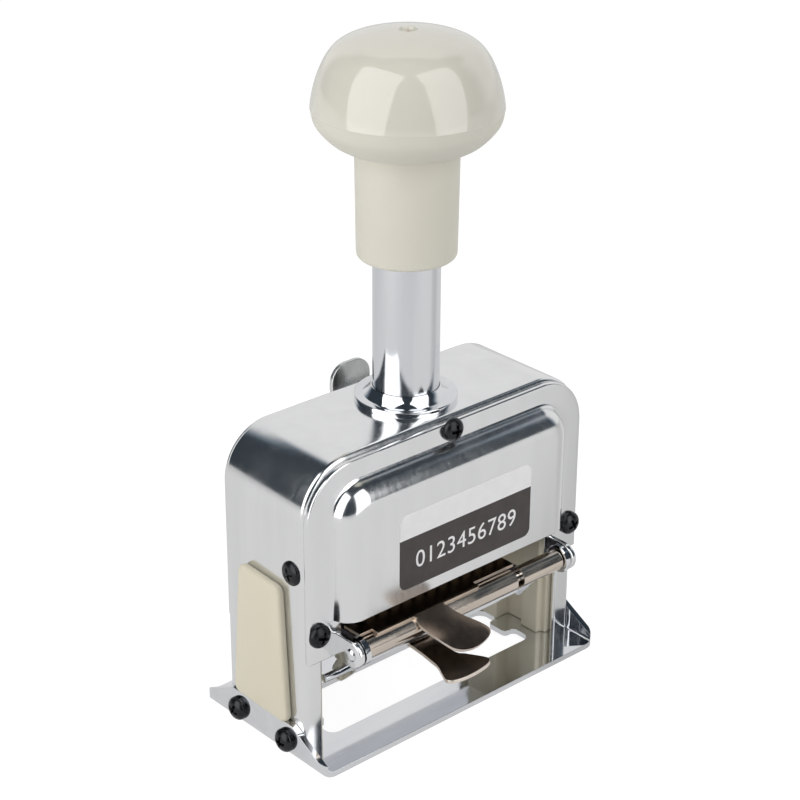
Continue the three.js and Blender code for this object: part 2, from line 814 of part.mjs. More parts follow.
function detentSolid() {
  const shape = new THREE.Shape();
  shape.moveTo(-wheelPack, crossheadTop);
  for (let i = 0; i < wheelCount; i++) {
    const centre = rimCentre(i);
    shape.lineTo(i === 0 ? -wheelPack : centre - detentFinger / 2, crossheadBottom);
    shape.lineTo(centre - detentFinger / 2, crossheadBottom);
    shape.lineTo(centre - detentFinger / 2, detentBottom);
    shape.lineTo(centre + detentFinger / 2, detentBottom);
    shape.lineTo(centre + detentFinger / 2, crossheadBottom);
  }
  shape.lineTo(wheelPack, crossheadBottom);
  shape.lineTo(wheelPack, crossheadTop);
  return alongY(shape, headFront - detentSheet, headFront);
}

// Number wheels: a rim with ten type blocks, and a ratchet beside it
const rimWidth = wheelPitch - wheelGap - ratchetWidth;
function wheelLeft(i) {
  return i * wheelPitch - wheelPack + wheelGap / 2;
}
function rimCentre(i) {
  return wheelLeft(i) + rimWidth / 2;
}

function wheelSolid() {
  const step = (Math.PI * 2) / digitCount;
  const down = -Math.PI / 2;
  const at = (radius, angle) => new THREE.Vector2(radius * Math.cos(angle), radius * Math.sin(angle));
  const rim = [];
  const ratchet = [];
  for (let k = 0; k < digitCount; k++) {
    const angle = down + k * step;
    rim.push(
      at(wheelRoot, angle - step * grooveShare),
      at(wheelRadius, angle - step * blockShare),
      at(wheelRadius, angle + step * blockShare),
      at(wheelRoot, angle + step * grooveShare),
    );
    ratchet.push(at(ratchetRoot, angle), at(ratchetTip, angle + step * toothShare));
  }
  const body = join(
    alongX(new THREE.Shape(rim), 0, rimWidth),
    alongX(new THREE.Shape(ratchet), rimWidth, rimWidth + ratchetWidth),
  );
  return cut(body, round("x", axleHole, -overrun, wheelPitch + overrun, [0, 0], boreSteps));
}
const wheelForm = wheelSolid();
for (let i = 0; i < wheelCount; i++) {
  const wheel = piece(`number_wheel_${String(i + 1).padStart(2, "0")}`, wheelForm, brass);
  wheel.position.set(wheelLeft(i), printLine, wheelRest);
  machine.add(wheel);
}
machine.add(piece("detent_comb", detentSolid(), steel));
machine.add(
  piece("wheel_axle", round("x", axleRadius, -axleEnd, axleEnd, [printLine, wheelRest], boreSteps), steel),
);

// Pawl carrier: two arms on the axle, joined behind the wheels, and the comb of pawls on its shaft
const carrierTurn = THREE.MathUtils.degToRad(carrierAngle);
const pawlY = printLine + carrierRadius * Math.cos(carrierTurn);
const pawlZ = wheelRest + carrierRadius * Math.sin(carrierTurn);

function carrierSolid() {
  const bridgeTurn = carrierTurn + THREE.MathUtils.degToRad(bridgeLead);
  const bridge = [
    printLine + carrierRadius * Math.cos(bridgeTurn),
    wheelRest + carrierRadius * Math.sin(bridgeTurn),
  ];
  const arm = (low, high) => {
    const shape = new THREE.Shape();
    const side = carrierTurn + Math.PI / 2;
    shape.absarc(printLine, wheelRest, carrierHub, side, side + Math.PI, false);
    shape.absarc(pawlY, pawlZ, carrierEnd, side + Math.PI, side + Math.PI * 2, false);
    const lobe = round("x", carrierEnd, low, high, bridge, smallSteps);
    const axle = round("x", axleHole, low - overrun, high + overrun, [printLine, wheelRest], boreSteps);
    return cut(join(alongX(shape, low, high), lobe), axle, pawlBore(low - overrun, high + overrun));
  };
  const outer = armInner + carrierArm;
  const rail = round("x", bridgeRadius, -outer, outer, bridge, smallSteps);
  return join(arm(-outer, -armInner), arm(armInner, outer), rail);
}

// The bore for the pawls' shaft.
function pawlBore(low, high) {
  return round("x", pawlShaftRadius + runningGap, low, high, [pawlY, pawlZ], smallSteps);
}
machine.add(piece("pawl_carrier", carrierSolid(), steel));
const pawlShaftEnd = armInner + carrierArm;
const pawlShaft = round("x", pawlShaftRadius, -pawlShaftEnd, pawlShaftEnd, [pawlY, pawlZ], smallSteps);
machine.add(piece("pawl_shaft", pawlShaft, steel));

function pawlCombSolid() {
  const hub = cut(
    round("x", pawlHub, -wheelPack, wheelPack, [pawlY, pawlZ], smallSteps),
    pawlBore(-wheelPack - overrun, wheelPack + overrun),
  );
  const tipRadius = ratchetTip + pawlTipGap;
  const tipAngle = carrierTurn - THREE.MathUtils.degToRad(pawlLeadAngle);
  const tipY = printLine + tipRadius * Math.cos(tipAngle);
  const tipZ = wheelRest + tipRadius * Math.sin(tipAngle);
  const along = new THREE.Vector2(tipY - pawlY, tipZ - pawlZ).normalize();
  const across = [-along.y * pawlSheet, along.x * pawlSheet];
  const fingers = [];
  for (let i = 0; i < wheelCount; i++) {
    const centre = wheelLeft(i) + rimWidth + ratchetWidth / 2;
    const start = pawlShaftRadius + looseGap;
    const rootY = pawlY + along.x * start;
    const rootZ = pawlZ + along.y * start;
    const shape = polygon([
      [rootY, rootZ],
      [tipY, tipZ],
      [rootY + across[0], rootZ + across[1]],
    ]);
    fingers.push(alongX(shape, centre - pawlFinger / 2, centre + pawlFinger / 2));
  }
  return join(hub, ...fingers);
}
machine.add(piece("pawl_comb", pawlCombSolid(), steel));

// Pad holder: a rod with a ring at its right end, and on it an arm, a tray under the wheels and a front bar
const rod = [rodY, rodHeight];
const rodEnd = lugOuter + rodHeadDepth;
const armOuter = lugInner - looseGap;
const padArmInner = armOuter - armSheet;
const barrelHalf = padArmInner - looseGap;
const barrelSlotLeft = barrelHalf - barrelSlotInset;
const trayHalfLength = wheelPack + trayOverhang;
const trayBarLeft = flangeWidth + trayBarInset - halfWidth;
const lidLeft = lidInset - barrelHalf;
const lidNotchLeft = lidNotchInset - barrelHalf;
function rodSolid() {
  const shaft = round("x", rodRadius, -rodEnd, rodEnd, rod, smallSteps);
  const heads = [
    round("x", rodHead, lugOuter, rodEnd, rod, smallSteps),
    round("x", rodHead, -rodEnd, -lugOuter, rod, smallSteps),
  ];
  return join(shaft, ...heads, round("x", armRadius, padArmInner, armOuter, rod, boreSteps));
}
machine.add(piece("pad_rod", rodSolid(), chrome));

function traySolid() {
  const channel = polygon([
    [trayFront, trayFloor],
    [trayBack, trayFloor],
    [trayBack, inkPadTop - looseGap],
    [trayBack - traySheet, inkPadTop - looseGap],
    [trayBack - traySheet, trayFloor + traySheet],
    [trayFront + traySheet, trayFloor + traySheet],
    [trayFront + traySheet, trayWallTop],
    [trayFront, trayWallTop],
  ]);
  const frontBar = round("x", trayBarRadius, trayBarLeft, trayHalfLength, [trayFront, trayFloor], smallSteps);
  const leftArm = cut(
    alongX(armShape(armRadius, trayBarRadius * 2), -armOuter, -padArmInner),
    boreAlongX(-armOuter, -padArmInner),
  );
  const rightArm = cut(
    alongX(armShape(rightArmHalf, rightArmHalf), trayHalfLength - armSheet, trayHalfLength),
    round("x", barrelRadius, 0, padArmInner, rod),
    bar([0, trayFront + traySheet, trayFloor + traySheet], [padArmInner, trayBack, rodHeight]),
  );
  return join(alongX(channel, -trayHalfLength, trayHalfLength), frontBar, leftArm, rightArm);
}

// An arm's outline, from a round end about the rod down to a round end about the front bar.
function armShape(rodEndRadius, barEndRadius) {
  const shape = new THREE.Shape();
  const down = Math.atan2(trayFloor - rodHeight, trayFront - rodY);
  shape.absarc(rodY, rodHeight, rodEndRadius, down + Math.PI / 2, down + Math.PI * 1.5, false);
  shape.absarc(trayFront, trayFloor, barEndRadius, down - Math.PI / 2, down + Math.PI / 2, false);
  return shape;
}
machine.add(piece("pad_tray", traySolid(), chrome));

const padLow = trayFloor + traySheet + looseGap;
const inkPad = bar(
  [inkPadInset - trayHalfLength, trayFront + traySheet + looseGap, padLow],
  [trayHalfLength - inkPadInset, trayBack - traySheet - looseGap, inkPadTop],
);
machine.add(piece("ink_pad", inkPad, felt));

function barrelSolid() {
  const tube = round("x", barrelRadius, -barrelHalf, barrelHalf, rod, roundSteps);
  const bore = boreAlongX(-barrelHalf, barrelHalf);
  const slot = bar(
    [barrelSlotLeft, rodY - barrelRadius - overrun, rodHeight - rodRadius],
    [barrelSlotLeft + barrelSlotWidth, rodY + barrelRadius + overrun, rodHeight + barrelRadius + overrun],
  );
  return cut(tube, bore, slot);
}
machine.add(piece("pad_barrel", barrelSolid(), bronze));

// Finger tabs: the stations run from the root to the rounded end.
const tabAlongShares = [0, 0.12, 0.3, 0.5, 0.68, 0.82, 0.92, 0.975, 1];
const tabLobeShares = [0, 0.1, 0.35, 0.7, 0.95, 1, 1, 1, 1];
const tabRoundShares = [1, 1, 1, 1, 1, 0.98, 0.82, 0.58, 0.25];
const tabBowShare = 0.02;
const tabFlatShare = 0.35;

// Each place is [y, centre on X, width].
function tabStations(root, lobe, heightAt) {
  return tabAlongShares.map((share, i) => {
    const y = root[0] + (lobe[0] - root[0]) * share;
    const centre = root[1] + (lobe[1] - root[1]) * tabLobeShares[i];
    const width = (root[2] + (lobe[2] - root[2]) * tabLobeShares[i]) * tabRoundShares[i];
    return [y, heightAt(share), centre - width / 2, centre + width / 2];
  });
}

// Lid: a sheet over the barrel's top that carries the upper finger tab
const lidInner = barrelRadius + runningGap;
const lidOuter = lidInner + lidSheet;
function lidSolid() {
  const front = THREE.MathUtils.degToRad(lidFrontAngle);
  const sheet = (angle) => {
    const shape = new THREE.Shape();
    shape.moveTo(lidBack, rodHeight + lidInner);
    shape.lineTo(lidBack, rodHeight + lidOuter);
    shape.absarc(rodY, rodHeight, lidOuter, Math.min(Math.PI / 2, angle), angle, false);
    shape.absarc(rodY, rodHeight, lidInner, angle, Math.min(Math.PI / 2, angle), true);
    return shape;
  };
  const ends = slabEnd(lidBack, rodY + lidEndsBack, rodHeight + lidInner, rodHeight + lidOuter);
  const middle = alongX(sheet(front), lidNotchLeft, lidNotchRight);
  const sides = alongX(ends, lidLeft, barrelSlotLeft);
  const tabTop = rodHeight + lidOuter * Math.sin(front);
  const tabStart = rodY + lidOuter * Math.cos(front);
  const drop = tabTop - rodHeight + tabDrop;
  const heightAt = (share) => tabTop - drop * (share + tabBowShare * Math.sin(share * Math.PI));
  const stations = tabStations([tabStart, tabRoot, tabRootWidth], [tabEnd, tabLobe, tabLobeWidth], heightAt);
  return join(middle, sides, ribbon(stations, tabSheet));
}

// The lid's flat ends, which stop short of the barrel's crest.
function slabEnd(back, front, low, high) {
  return polygon([
    [back, low],
    [back, high],
    [front, high],
    [front, low],
  ]);
}
machine.add(piece("pad_lid", lidSolid(), bronze));

const lowerTabTop = trayFloor - trayBarRadius - looseGap;
function lowerTabSolid() {
  const dip = (share) => Math.sin(Math.max(0, (share - tabFlatShare) / (1 - tabFlatShare)) * Math.PI);
  const heightAt = (share) => lowerTabTop - lowerTabDip * dip(share);
  const root = [lowerTabStart, lowerTabCentre, lowerTabWidth];
  const stations = tabStations(root, [tabEnd, lowerTabLobe, lowerTabLobeWidth], heightAt);
  const hole = round("z", rivetRadius + looseGap / 2, 0, trayFloor, rivetPlace, smallSteps);
  return cut(ribbon(stations, tabSheet), hole);
}
const rivetPlace = [lowerTabCentre, trayFront + rivetInset];
machine.add(piece("pad_tab", lowerTabSolid(), bronze));
const rivetLow = lowerTabTop - tabSheet;
const padRivet = join(
  round("z", rivetRadius, rivetLow - rivetHeight, trayFloor, rivetPlace, smallSteps),
  round("z", rivetHead, rivetLow - rivetHeight, rivetLow, rivetPlace, smallSteps),
  round("z", rivetHead, lowerTabTop, trayFloor, rivetPlace, smallSteps),
);
machine.add(piece("pad_rivet", padRivet, chrome));

// Counter lever on its rivet behind the back cover
const leverLow = panelFace + looseGap;
const leverHigh = leverLow + leverSheet;
function leverSolid() {
  const shape = new THREE.Shape();
  const rise = leverReach - leverTabHeight;
  const half = leverWidth / 2;
  const tabHalf = leverTabWidth / 2;
  const corner = leverTabWidth * tabCornerShare;
  const top = leverPivotHeight + leverReach;
  shape.moveTo(-half, leverPivotHeight);
  shape.lineTo(-half, leverPivotHeight + rise - corner);
  shape.quadraticCurveTo(-half, leverPivotHeight + rise, -tabHalf, leverPivotHeight + rise + corner);
  shape.quadraticCurveTo(-tabHalf, top, corner - tabHalf, top);
  shape.lineTo(tabHalf - corner, top);
  shape.quadraticCurveTo(tabHalf, top, tabHalf, leverPivotHeight + rise + corner);
  shape.quadraticCurveTo(half, leverPivotHeight + rise, half, leverPivotHeight + rise - corner);
  shape.lineTo(half, leverPivotHeight);
  const blade = alongY(shape, leverLow, leverHigh);
  const hub = round("y", leverHub, leverLow, leverHigh, leverPlace);
  const rivetHole = leverRivet + runningGap;
  const hole = round("y", rivetHole, leverLow - overrun, leverHigh + overrun, leverPlace, smallSteps);
  return cut(join(blade, hub), hole);
}
machine.add(piece("counter_lever", leverSolid(), chrome));

const rivetInside = panelFace - panelWall - leverRivetHeadHeight;
const rivetOutside = leverHigh + looseGap;
const rivetFront = rivetInside - leverRivetHeadHeight;
const rivetBack = rivetOutside + leverRivetHeadHeight;
const leverPivot = join(
  round("y", leverRivet, rivetInside, rivetOutside, leverPlace, smallSteps),
  round("y", leverRivetHead, rivetOutside, rivetBack, leverPlace, smallSteps),
  round("y", leverRivetHead, rivetFront, rivetInside, leverPlace, smallSteps),
);
machine.add(piece("lever_pivot", leverPivot, steel));

// Return springs: one unbroken helix each
function helix(radius, wire, curls, low, high, centreX) {
  const stepsPerCurl = 8;
  const sides = 5;
  const count = curls * stepsPerCurl;
  const rise = (high - low) / count;
  const points = [];
  for (let i = 0; i <= count; i++) {
    const angle = (i / stepsPerCurl) * Math.PI * 2;
    const out = new THREE.Vector3(Math.cos(angle), Math.sin(angle), 0);
    for (let k = 0; k < sides; k++) {
      const turn = (k / sides) * Math.PI * 2;
      const reach = radius + wire * Math.cos(turn);
      points.push(centreX + out.x * reach, out.y * reach, low + i * rise + wire * Math.sin(turn));
    }
  }
  const faces = [];
  for (let i = 0; i < count; i++)
    for (let k = 0; k < sides; k++) {
      const next = (k + 1) % sides;
      const a = i * sides + k;
      const b = i * sides + next;
      faces.push(a, b, b + sides, a, b + sides, a + sides);
    }
  const last = count * sides;
  for (let k = 1; k + 1 < sides; k++) {
    faces.push(0, k + 1, k);
    faces.push(last, last + k, last + k + 1);
  }
  const geometry = new THREE.BufferGeometry();
  geometry.setAttribute("position", new THREE.Float32BufferAttribute(points, 3));
  geometry.setIndex(faces);
  return solid(geometry);
}
const springLow = crossheadTop + returnWire + looseGap;
const springHigh = nutTop - returnWire - looseGap;
console.log("gap between the return springs' curls", (springHigh - springLow) / springCurls - 2 * returnWire);
for (const [side, word] of [[-1, "left"], [1, "right"]]) {
  const spring = helix(springRadius, returnWire, springCurls, springLow, springHigh, side * springOffset);
  machine.add(piece(`return_spring_${word}`, spring, steel));
}

// The origin is the centre of the footprint, so the machine is moved along Y until its box is centred.
const box = new THREE.Box3().setFromObject(machine, true);
machine.position.y = -(box.min.y + box.max.y) / 2;
console.log("moved along Y by", machine.position.y);
const part = new THREE.Group();
part.add(machine);

export default part;
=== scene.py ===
import json
import math

import bmesh
import bpy
from mathutils import Matrix, Vector


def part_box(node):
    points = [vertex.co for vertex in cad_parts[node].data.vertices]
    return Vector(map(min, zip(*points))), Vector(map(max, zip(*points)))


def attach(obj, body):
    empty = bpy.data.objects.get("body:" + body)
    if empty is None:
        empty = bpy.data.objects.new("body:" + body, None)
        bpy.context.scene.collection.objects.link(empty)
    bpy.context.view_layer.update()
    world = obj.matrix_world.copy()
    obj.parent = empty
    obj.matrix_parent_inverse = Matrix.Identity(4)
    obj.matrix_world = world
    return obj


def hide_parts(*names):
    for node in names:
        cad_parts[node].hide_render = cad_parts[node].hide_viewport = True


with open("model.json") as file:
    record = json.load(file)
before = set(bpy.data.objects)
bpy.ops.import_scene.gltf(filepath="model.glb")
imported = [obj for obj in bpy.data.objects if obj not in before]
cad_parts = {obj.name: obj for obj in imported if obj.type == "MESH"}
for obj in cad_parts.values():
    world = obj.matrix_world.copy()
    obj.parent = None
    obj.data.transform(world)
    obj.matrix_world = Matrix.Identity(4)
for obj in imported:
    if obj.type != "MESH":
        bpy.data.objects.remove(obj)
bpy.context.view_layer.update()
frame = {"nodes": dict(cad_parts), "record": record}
print("frame loaded:", len(frame["nodes"]), "nodes")

# Lengths below are millimetres in the machine's own axes, which stand at the plunger.
mm = 0.001
tubeLow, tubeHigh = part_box("plunger_tube")
plungerY = (tubeLow.y + tubeHigh.y) / 2
record = frame["record"]
bodyOf = {node: body for body, nodes in record["behaviour"]["bodies"].items() for node in nodes}


def toRow(x, y, z):
    return Vector((x * mm, y * mm + plungerY, z * mm))


def span(node):  # a node's lowest and highest corner
    return [Vector((corner.x, corner.y - plungerY, corner.z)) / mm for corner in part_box(node)]


# Meshes


def arc(a, b, radius, start, end, steps=8):
    turns = [math.radians(start + (end - start) * k / steps) for k in range(steps + 1)]
    return [(a + radius * math.cos(turn), b + radius * math.sin(turn)) for turn in turns]


def filleted(corners, steps=6):  # a closed outline of (a, b, radius) corners
    outline = []
    for i, (a, b, radius) in enumerate(corners):
        here = Vector((a, b))
        before = (Vector(corners[i - 1][:2]) - here).normalized()
        after = (Vector(corners[(i + 1) % len(corners)][:2]) - here).normalized()
        if radius == 0:
            outline.append((a, b))
            continue
        half = before.angle(after) / 2
        centre = here + (before + after).normalized() * (radius / math.sin(half))
        first = here + before * (radius / math.tan(half)) - centre
        last = here + after * (radius / math.tan(half)) - centre
        start = math.degrees(math.atan2(first.y, first.x))
        turn = (math.degrees(math.atan2(last.y, last.x)) - start + 180) % 360 - 180
        outline += arc(centre.x, centre.y, radius, start, start + turn, steps)
    return outline


def archLine(half, low, top, corner, steps):  # up the left leg, over, and down the right one
    left = arc(corner - half, top - corner, corner, 180, 90, steps)
    right = arc(half - corner, top - corner, corner, 90, 0, steps)
    return [(-half, low), *left, *right, (half, low)]


def inScene(name, data):
    made = bpy.data.objects.new(name, data)
    bpy.context.scene.collection.objects.link(made)
    return made


def newPiece(name, points, faces):
    data = bpy.data.meshes.new(name)
    data.from_pydata([toRow(*point) for point in points], [], faces)
    piece = inScene(name, data)
    tidyMesh(piece)
    return piece


def tidyMesh(piece, gap=1e-6):
    work = bmesh.new()
    work.from_mesh(piece.data)
    bmesh.ops.remove_doubles(work, verts=work.verts, dist=gap)
    bmesh.ops.dissolve_degenerate(work, edges=work.edges, dist=gap)
    bmesh.ops.recalc_face_normals(work, faces=work.faces)
    work.to_mesh(piece.data)
    work.free()


def loft(name, rings, closed=True, caps=True):
    size = len(rings[0])
    points = [point for ring in rings for point in ring]
    faces = []
    for i in range(len(rings) - 1):
        for k in range(size if closed else size - 1):
            n = (k + 1) % size
            faces.append((i * size + k, i * size + n, (i + 1) * size + n, (i + 1) * size + k))
    if caps:
        last = (len(rings) - 1) * size
        faces += [tuple(range(size)), tuple(range(last, last + size))]
    return newPiece(name, points, faces)


def gridFaces(rowCount, size, start=0):  # the quads between rows that hold size points each
    faces = []
    for r in range(rowCount - 1):
        for k in range(size - 1):
            a = start + r * size + k
            faces.append((a, a + size, a + size + 1, a + 1))
    return faces


def onAxis(axis, along, a, b):
    return {"x": (along, a, b), "y": (a, along, b), "z": (a, b, along)}[axis]


def plate(name, outline, axis, low, high):
    return loft(name, [[onAxis(axis, along, a, b) for a, b in outline] for along in (low, high)])


def turned(name, profile, axis="z", centre=(0, 0), steps=96, ring=False):  # profile of (radius, along)
    rings = []
    for i in range(steps + 1):
        turn = math.tau * i / steps
        c, s = math.cos(turn), math.sin(turn)
        rings.append([onAxis(axis, along, centre[0] + r * c, centre[1] + r * s) for r, along in profile])
    return loft(name, rings, closed=ring, caps=False)


def applied(piece):
    graph = bpy.context.evaluated_depsgraph_get()
    made = bpy.data.meshes.new_from_object(piece.evaluated_get(graph))
    piece.modifiers.clear()
    piece.data = made
    return piece


def combined(piece, operation, *tools):
    for tool in tools:
        step = piece.modifiers.new(operation, "BOOLEAN")
        step.operation = operation
        step.solver = "EXACT"
        step.object = tool
    applied(piece)
    for tool in tools:
        bpy.data.objects.remove(tool)
    return piece


def eased(piece, width, segments=3, angle=35):
    bevel = piece.modifiers.new("edges", "BEVEL")
    bevel.width = width * mm
    bevel.segments = segments
    bevel.limit_method = "ANGLE"
    bevel.angle_limit = math.radians(angle)
    bevel.miter_outer = "MITER_ARC"
    flat = piece.modifiers.new("flats", "WEIGHTED_NORMAL")
    flat.keep_sharp = True
    return piece


def walled(piece, thickness, rimSlot=0):
    wall = piece.modifiers.new("wall", "SOLIDIFY")
    wall.thickness = thickness * mm
    wall.offset = -1
    wall.use_even_offset = True
    wall.material_offset_rim = rimSlot
    return piece


def joined(name, *pieces):
    work = bmesh.new()
    for piece in pieces:
        work.from_mesh(applied(piece).data)
    data = bpy.data.meshes.new(name)
    work.to_mesh(data)
    work.free()
    for material in pieces[0].data.materials:
        data.materials.append(material)
    for piece in pieces:
        bpy.data.objects.remove(piece)
    return inScene(name, data)


# Gives a piece its finish and its place in the table. It stands for the nodes named.
def settle(piece, material, *nodes, body=None, smooth=38):
    for face in piece.data.polygons:
        face.use_smooth = True
    piece.data.set_sharp_from_angle(angle=math.radians(smooth))
    if material and not piece.data.materials:
        piece.data.materials.append(material)
    if piece.modifiers:
        applied(piece)
    if material and not piece.data.materials:
        piece.data.materials.append(material)
    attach(piece, body or bodyOf[nodes[0]])
    if nodes:
        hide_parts(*nodes)
    return piece


def nodeCopy(name, node):
    data = frame["nodes"][node].data.copy()
    data.materials.clear()
    piece = inScene(name, data)
    tidyMesh(piece, 2e-6)
    return piece


# A machined or moulded inner part: the node's own form with its edges broken.
def broken(name, node, material, width):
    piece = nodeCopy(name, node)
    work = bmesh.new()
    work.from_mesh(piece.data)
    bmesh.ops.dissolve_limit(work, angle_limit=math.radians(1), verts=work.verts, edges=work.edges)
    work.to_mesh(piece.data)
    work.free()
    return settle(eased(piece, width, 2, 40), material, node)


# Materials


def setInputs(tree, node, inputs):  # an input takes a link where its value is a socket
    for key, value in dict(inputs).items():
        if hasattr(value, "is_linked"):
            tree.links.new(value, node.inputs[key])
        else:
            node.inputs[key].default_value = value


def add(tree, kind, inputs=(), **settings):
    node = tree.nodes.new(kind)
    for key, value in settings.items():
        setattr(node, key, value)
    setInputs(tree, node, inputs)
    return node


def noise(tree, place, scale, detail=3, stretch=(1, 1, 1), roughness=0.5):
    mapped = add(tree, "ShaderNodeMapping", {"Vector": place, "Scale": stretch}).outputs[0]
    inputs = {"Vector": mapped, "Scale": scale, "Detail": detail, "Roughness": roughness}
    return add(tree, "ShaderNodeTexNoise", inputs).outputs["Fac"]


def ranged(tree, value, low, high, toLow=0.0, toHigh=1.0, smooth=True):
    kind = "SMOOTHSTEP" if smooth else "LINEAR"
    inputs = {"Value": value, "From Min": low, "From Max": high, "To Min": toLow, "To Max": toHigh}
    return add(tree, "ShaderNodeMapRange", inputs, interpolation_type=kind).outputs["Result"]


def maths(tree, operation, a, b=0.0):
    return add(tree, "ShaderNodeMath", {0: a, 1: b}, operation=operation).outputs[0]


def blended(tree, share, first, second):
    return add(tree, "ShaderNodeMix", {0: share, 6: first, 7: second}, data_type="RGBA").outputs[2]


def bumped(tree, height, distance, strength=1.0, under=None):
    inputs = {"Height": height, "Distance": distance * mm, "Strength": strength}
    if under:
        inputs["Normal"] = under
    return add(tree, "ShaderNodeBump", inputs).outputs[0]


def startMaterial(name):
    material = bpy.data.materials.new(name)
    material.use_nodes = True
    tree = material.node_tree
    place = add(tree, "ShaderNodeTexCoord").outputs["Object"]
    return material, tree, tree.nodes["Principled BSDF"], place


# Plated or polished metal: a streaked roughness, smudges, and a slight waviness in the sheet.
def metal(name, colour, shade, roughness, streaks, streakDepth, smudge, wave, pits=0.0, ripple=0.0):
    material, tree, shader, place = startMaterial(name)
    fine = noise(tree, place, 900, 4, streaks)
    cloudy = noise(tree, place, 70, 4)
    tone = ranged(tree, noise(tree, place, 160, 5, streaks), 0.3, 0.75)
    rough = ranged(tree, fine, 0.3, 0.7, roughness, roughness + streakDepth)
    rough = maths(tree, "ADD", rough, ranged(tree, cloudy, 0.5, 0.75, 0.0, smudge))
    tone = blended(tree, tone, (*colour, 1), (*shade, 1))
    normal = bumped(tree, noise(tree, place, 45, 2), wave)
    normal = bumped(tree, fine, streakDepth * 0.02, under=normal)
    if ripple:  # rolled sheet, uneven across its grain
        normal = bumped(tree, noise(tree, place, 190, 2, streaks), ripple, under=normal)
    if pits:
        spots = ranged(tree, noise(tree, place, 2200, 2), 0.72, 0.8)
        normal = bumped(tree, spots, -pits, under=normal)
    setInputs(tree, shader, {"Base Color": tone, "Metallic": 1, "Roughness": rough, "Normal": normal})
    return material


# Moulded plastic: faint flow marks, fine grain, a little dust in the roughness, and a clear coat if glossy.
def plastic(name, colour, shade, roughness, grain, coat, wave=0.01, satinBelow=None, satin=0.34):
    material, tree, shader, place = startMaterial(name)
    flow = ranged(tree, noise(tree, place, 55, 3, (1, 1, 0.5)), 0.3, 0.7)
    dust = ranged(tree, noise(tree, place, 1400, 3), 0.55, 0.75)
    tone = blended(tree, flow, (*colour, 1), (*shade, 1))
    rough = ranged(tree, noise(tree, place, 300, 3), 0.3, 0.7, roughness, roughness + 0.05)
    rough = maths(tree, "ADD", rough, maths(tree, "MULTIPLY", dust, 0.05))
    if satinBelow:  # a moulding polished above this height only
        height = add(tree, "ShaderNodeSeparateXYZ", {0: place}).outputs["Z"]
        gloss = ranged(tree, height, (satinBelow - 0.15) * mm, (satinBelow + 0.15) * mm)
        rough = maths(tree, "ADD", rough, ranged(tree, gloss, 0.0, 1.0, satin, 0.0))
        coat = maths(tree, "MULTIPLY", gloss, coat)
    normal = bumped(tree, noise(tree, place, 90, 2), wave)
    normal = bumped(tree, noise(tree, place, 2600, 2), grain, under=normal)
    setInputs(tree, shader, {
        "Base Color": tone, "Roughness": rough, "Coat Weight": coat, "Coat Roughness": 0.04, "Normal": normal,
    })
    return material


def feltMaterial():
    material, tree, shader, place = startMaterial("inkedFelt")
    fibres = noise(tree, place, 1800, 6, (1, 1, 3), 0.7)
    inked = ranged(tree, noise(tree, place, 120, 3), 0.35, 0.65)
    setInputs(tree, shader, {
        "Base Color": blended(tree, inked, (0.012, 0.012, 0.03, 1), (0.04, 0.035, 0.07, 1)),
        "Roughness": ranged(tree, fibres, 0.3, 0.7, 0.7, 1.0), "Sheen Weight": 0.3,
        "Normal": bumped(tree, fibres, 0.25),
    })
    return material


housingMetal = metal(
    "housingMetal", (0.86, 0.865, 0.87), (0.82, 0.825, 0.83), roughness=0.14,
    streaks=(1, 1, 0.12), streakDepth=0.04, smudge=0.05, wave=0.005, pits=0.008,
)
mirrorMetal = metal(
    "mirrorMetal", (0.8, 0.81, 0.83), (0.74, 0.755, 0.78), roughness=0.04,
    streaks=(0.2, 1, 1), streakDepth=0.03, smudge=0.05, wave=0.004,
)
tubeMetal = metal(
    "tubeMetal", (0.8, 0.81, 0.83), (0.72, 0.74, 0.77), roughness=0.1,
    streaks=(1, 1, 0.08), streakDepth=0.06, smudge=0.08, wave=0.005,
)
leverMetal = metal(
    "leverMetal", (0.8, 0.82, 0.8), (0.6, 0.62, 0.6), roughness=0.26,
    streaks=(1, 1, 0.2), streakDepth=0.08, smudge=0.1, wave=0.006, ripple=0.05,
)
darkPlate = metal(
    "darkPlate", (0.33, 0.255, 0.2), (0.26, 0.2, 0.155), roughness=0.2,
    streaks=(1, 0.12, 1), streakDepth=0.04, smudge=0.08, wave=0.02, ripple=0.03,
)
barrelPlate = metal(
    "barrelPlate", (0.8, 0.71, 0.62), (0.6, 0.52, 0.45), roughness=0.14,
    streaks=(0.12, 1, 1), streakDepth=0.08, smudge=0.1, wave=0.01,
)
barePlate = metal(
    "barePlate", (0.85, 0.76, 0.68), (0.72, 0.62, 0.54), roughness=0.3,
    streaks=(0.3, 1, 1), streakDepth=0.08, smudge=0.1, wave=0.01,
)
machinedSteel = metal(
    "machinedSteel", (0.55, 0.56, 0.58), (0.42, 0.43, 0.45), roughness=0.28,
    streaks=(0.1, 1, 1), streakDepth=0.12, smudge=0.15, wave=0.004,
)
springSteel = metal(
    "springSteel", (0.62, 0.6, 0.56), (0.45, 0.43, 0.4), roughness=0.2,
    streaks=(1, 1, 1), streakDepth=0.1, smudge=0.1, wave=0.003,
)
typeBrass = metal(
    "typeBrass", (0.2, 0.165, 0.12), (0.09, 0.075, 0.055), roughness=0.34,
    streaks=(0.1, 1, 1), streakDepth=0.12, smudge=0.15, wave=0.004,
)
blackOxide = metal(
    "blackOxide", (0.05, 0.052, 0.055), (0.025, 0.026, 0.028), roughness=0.24,
    streaks=(1, 1, 1), streakDepth=0.12, smudge=0.2, wave=0.004,
)
knobLow, knobHigh = span("knob_cap")
seamShare = 0.39  # the knob's seam, as a share of its height
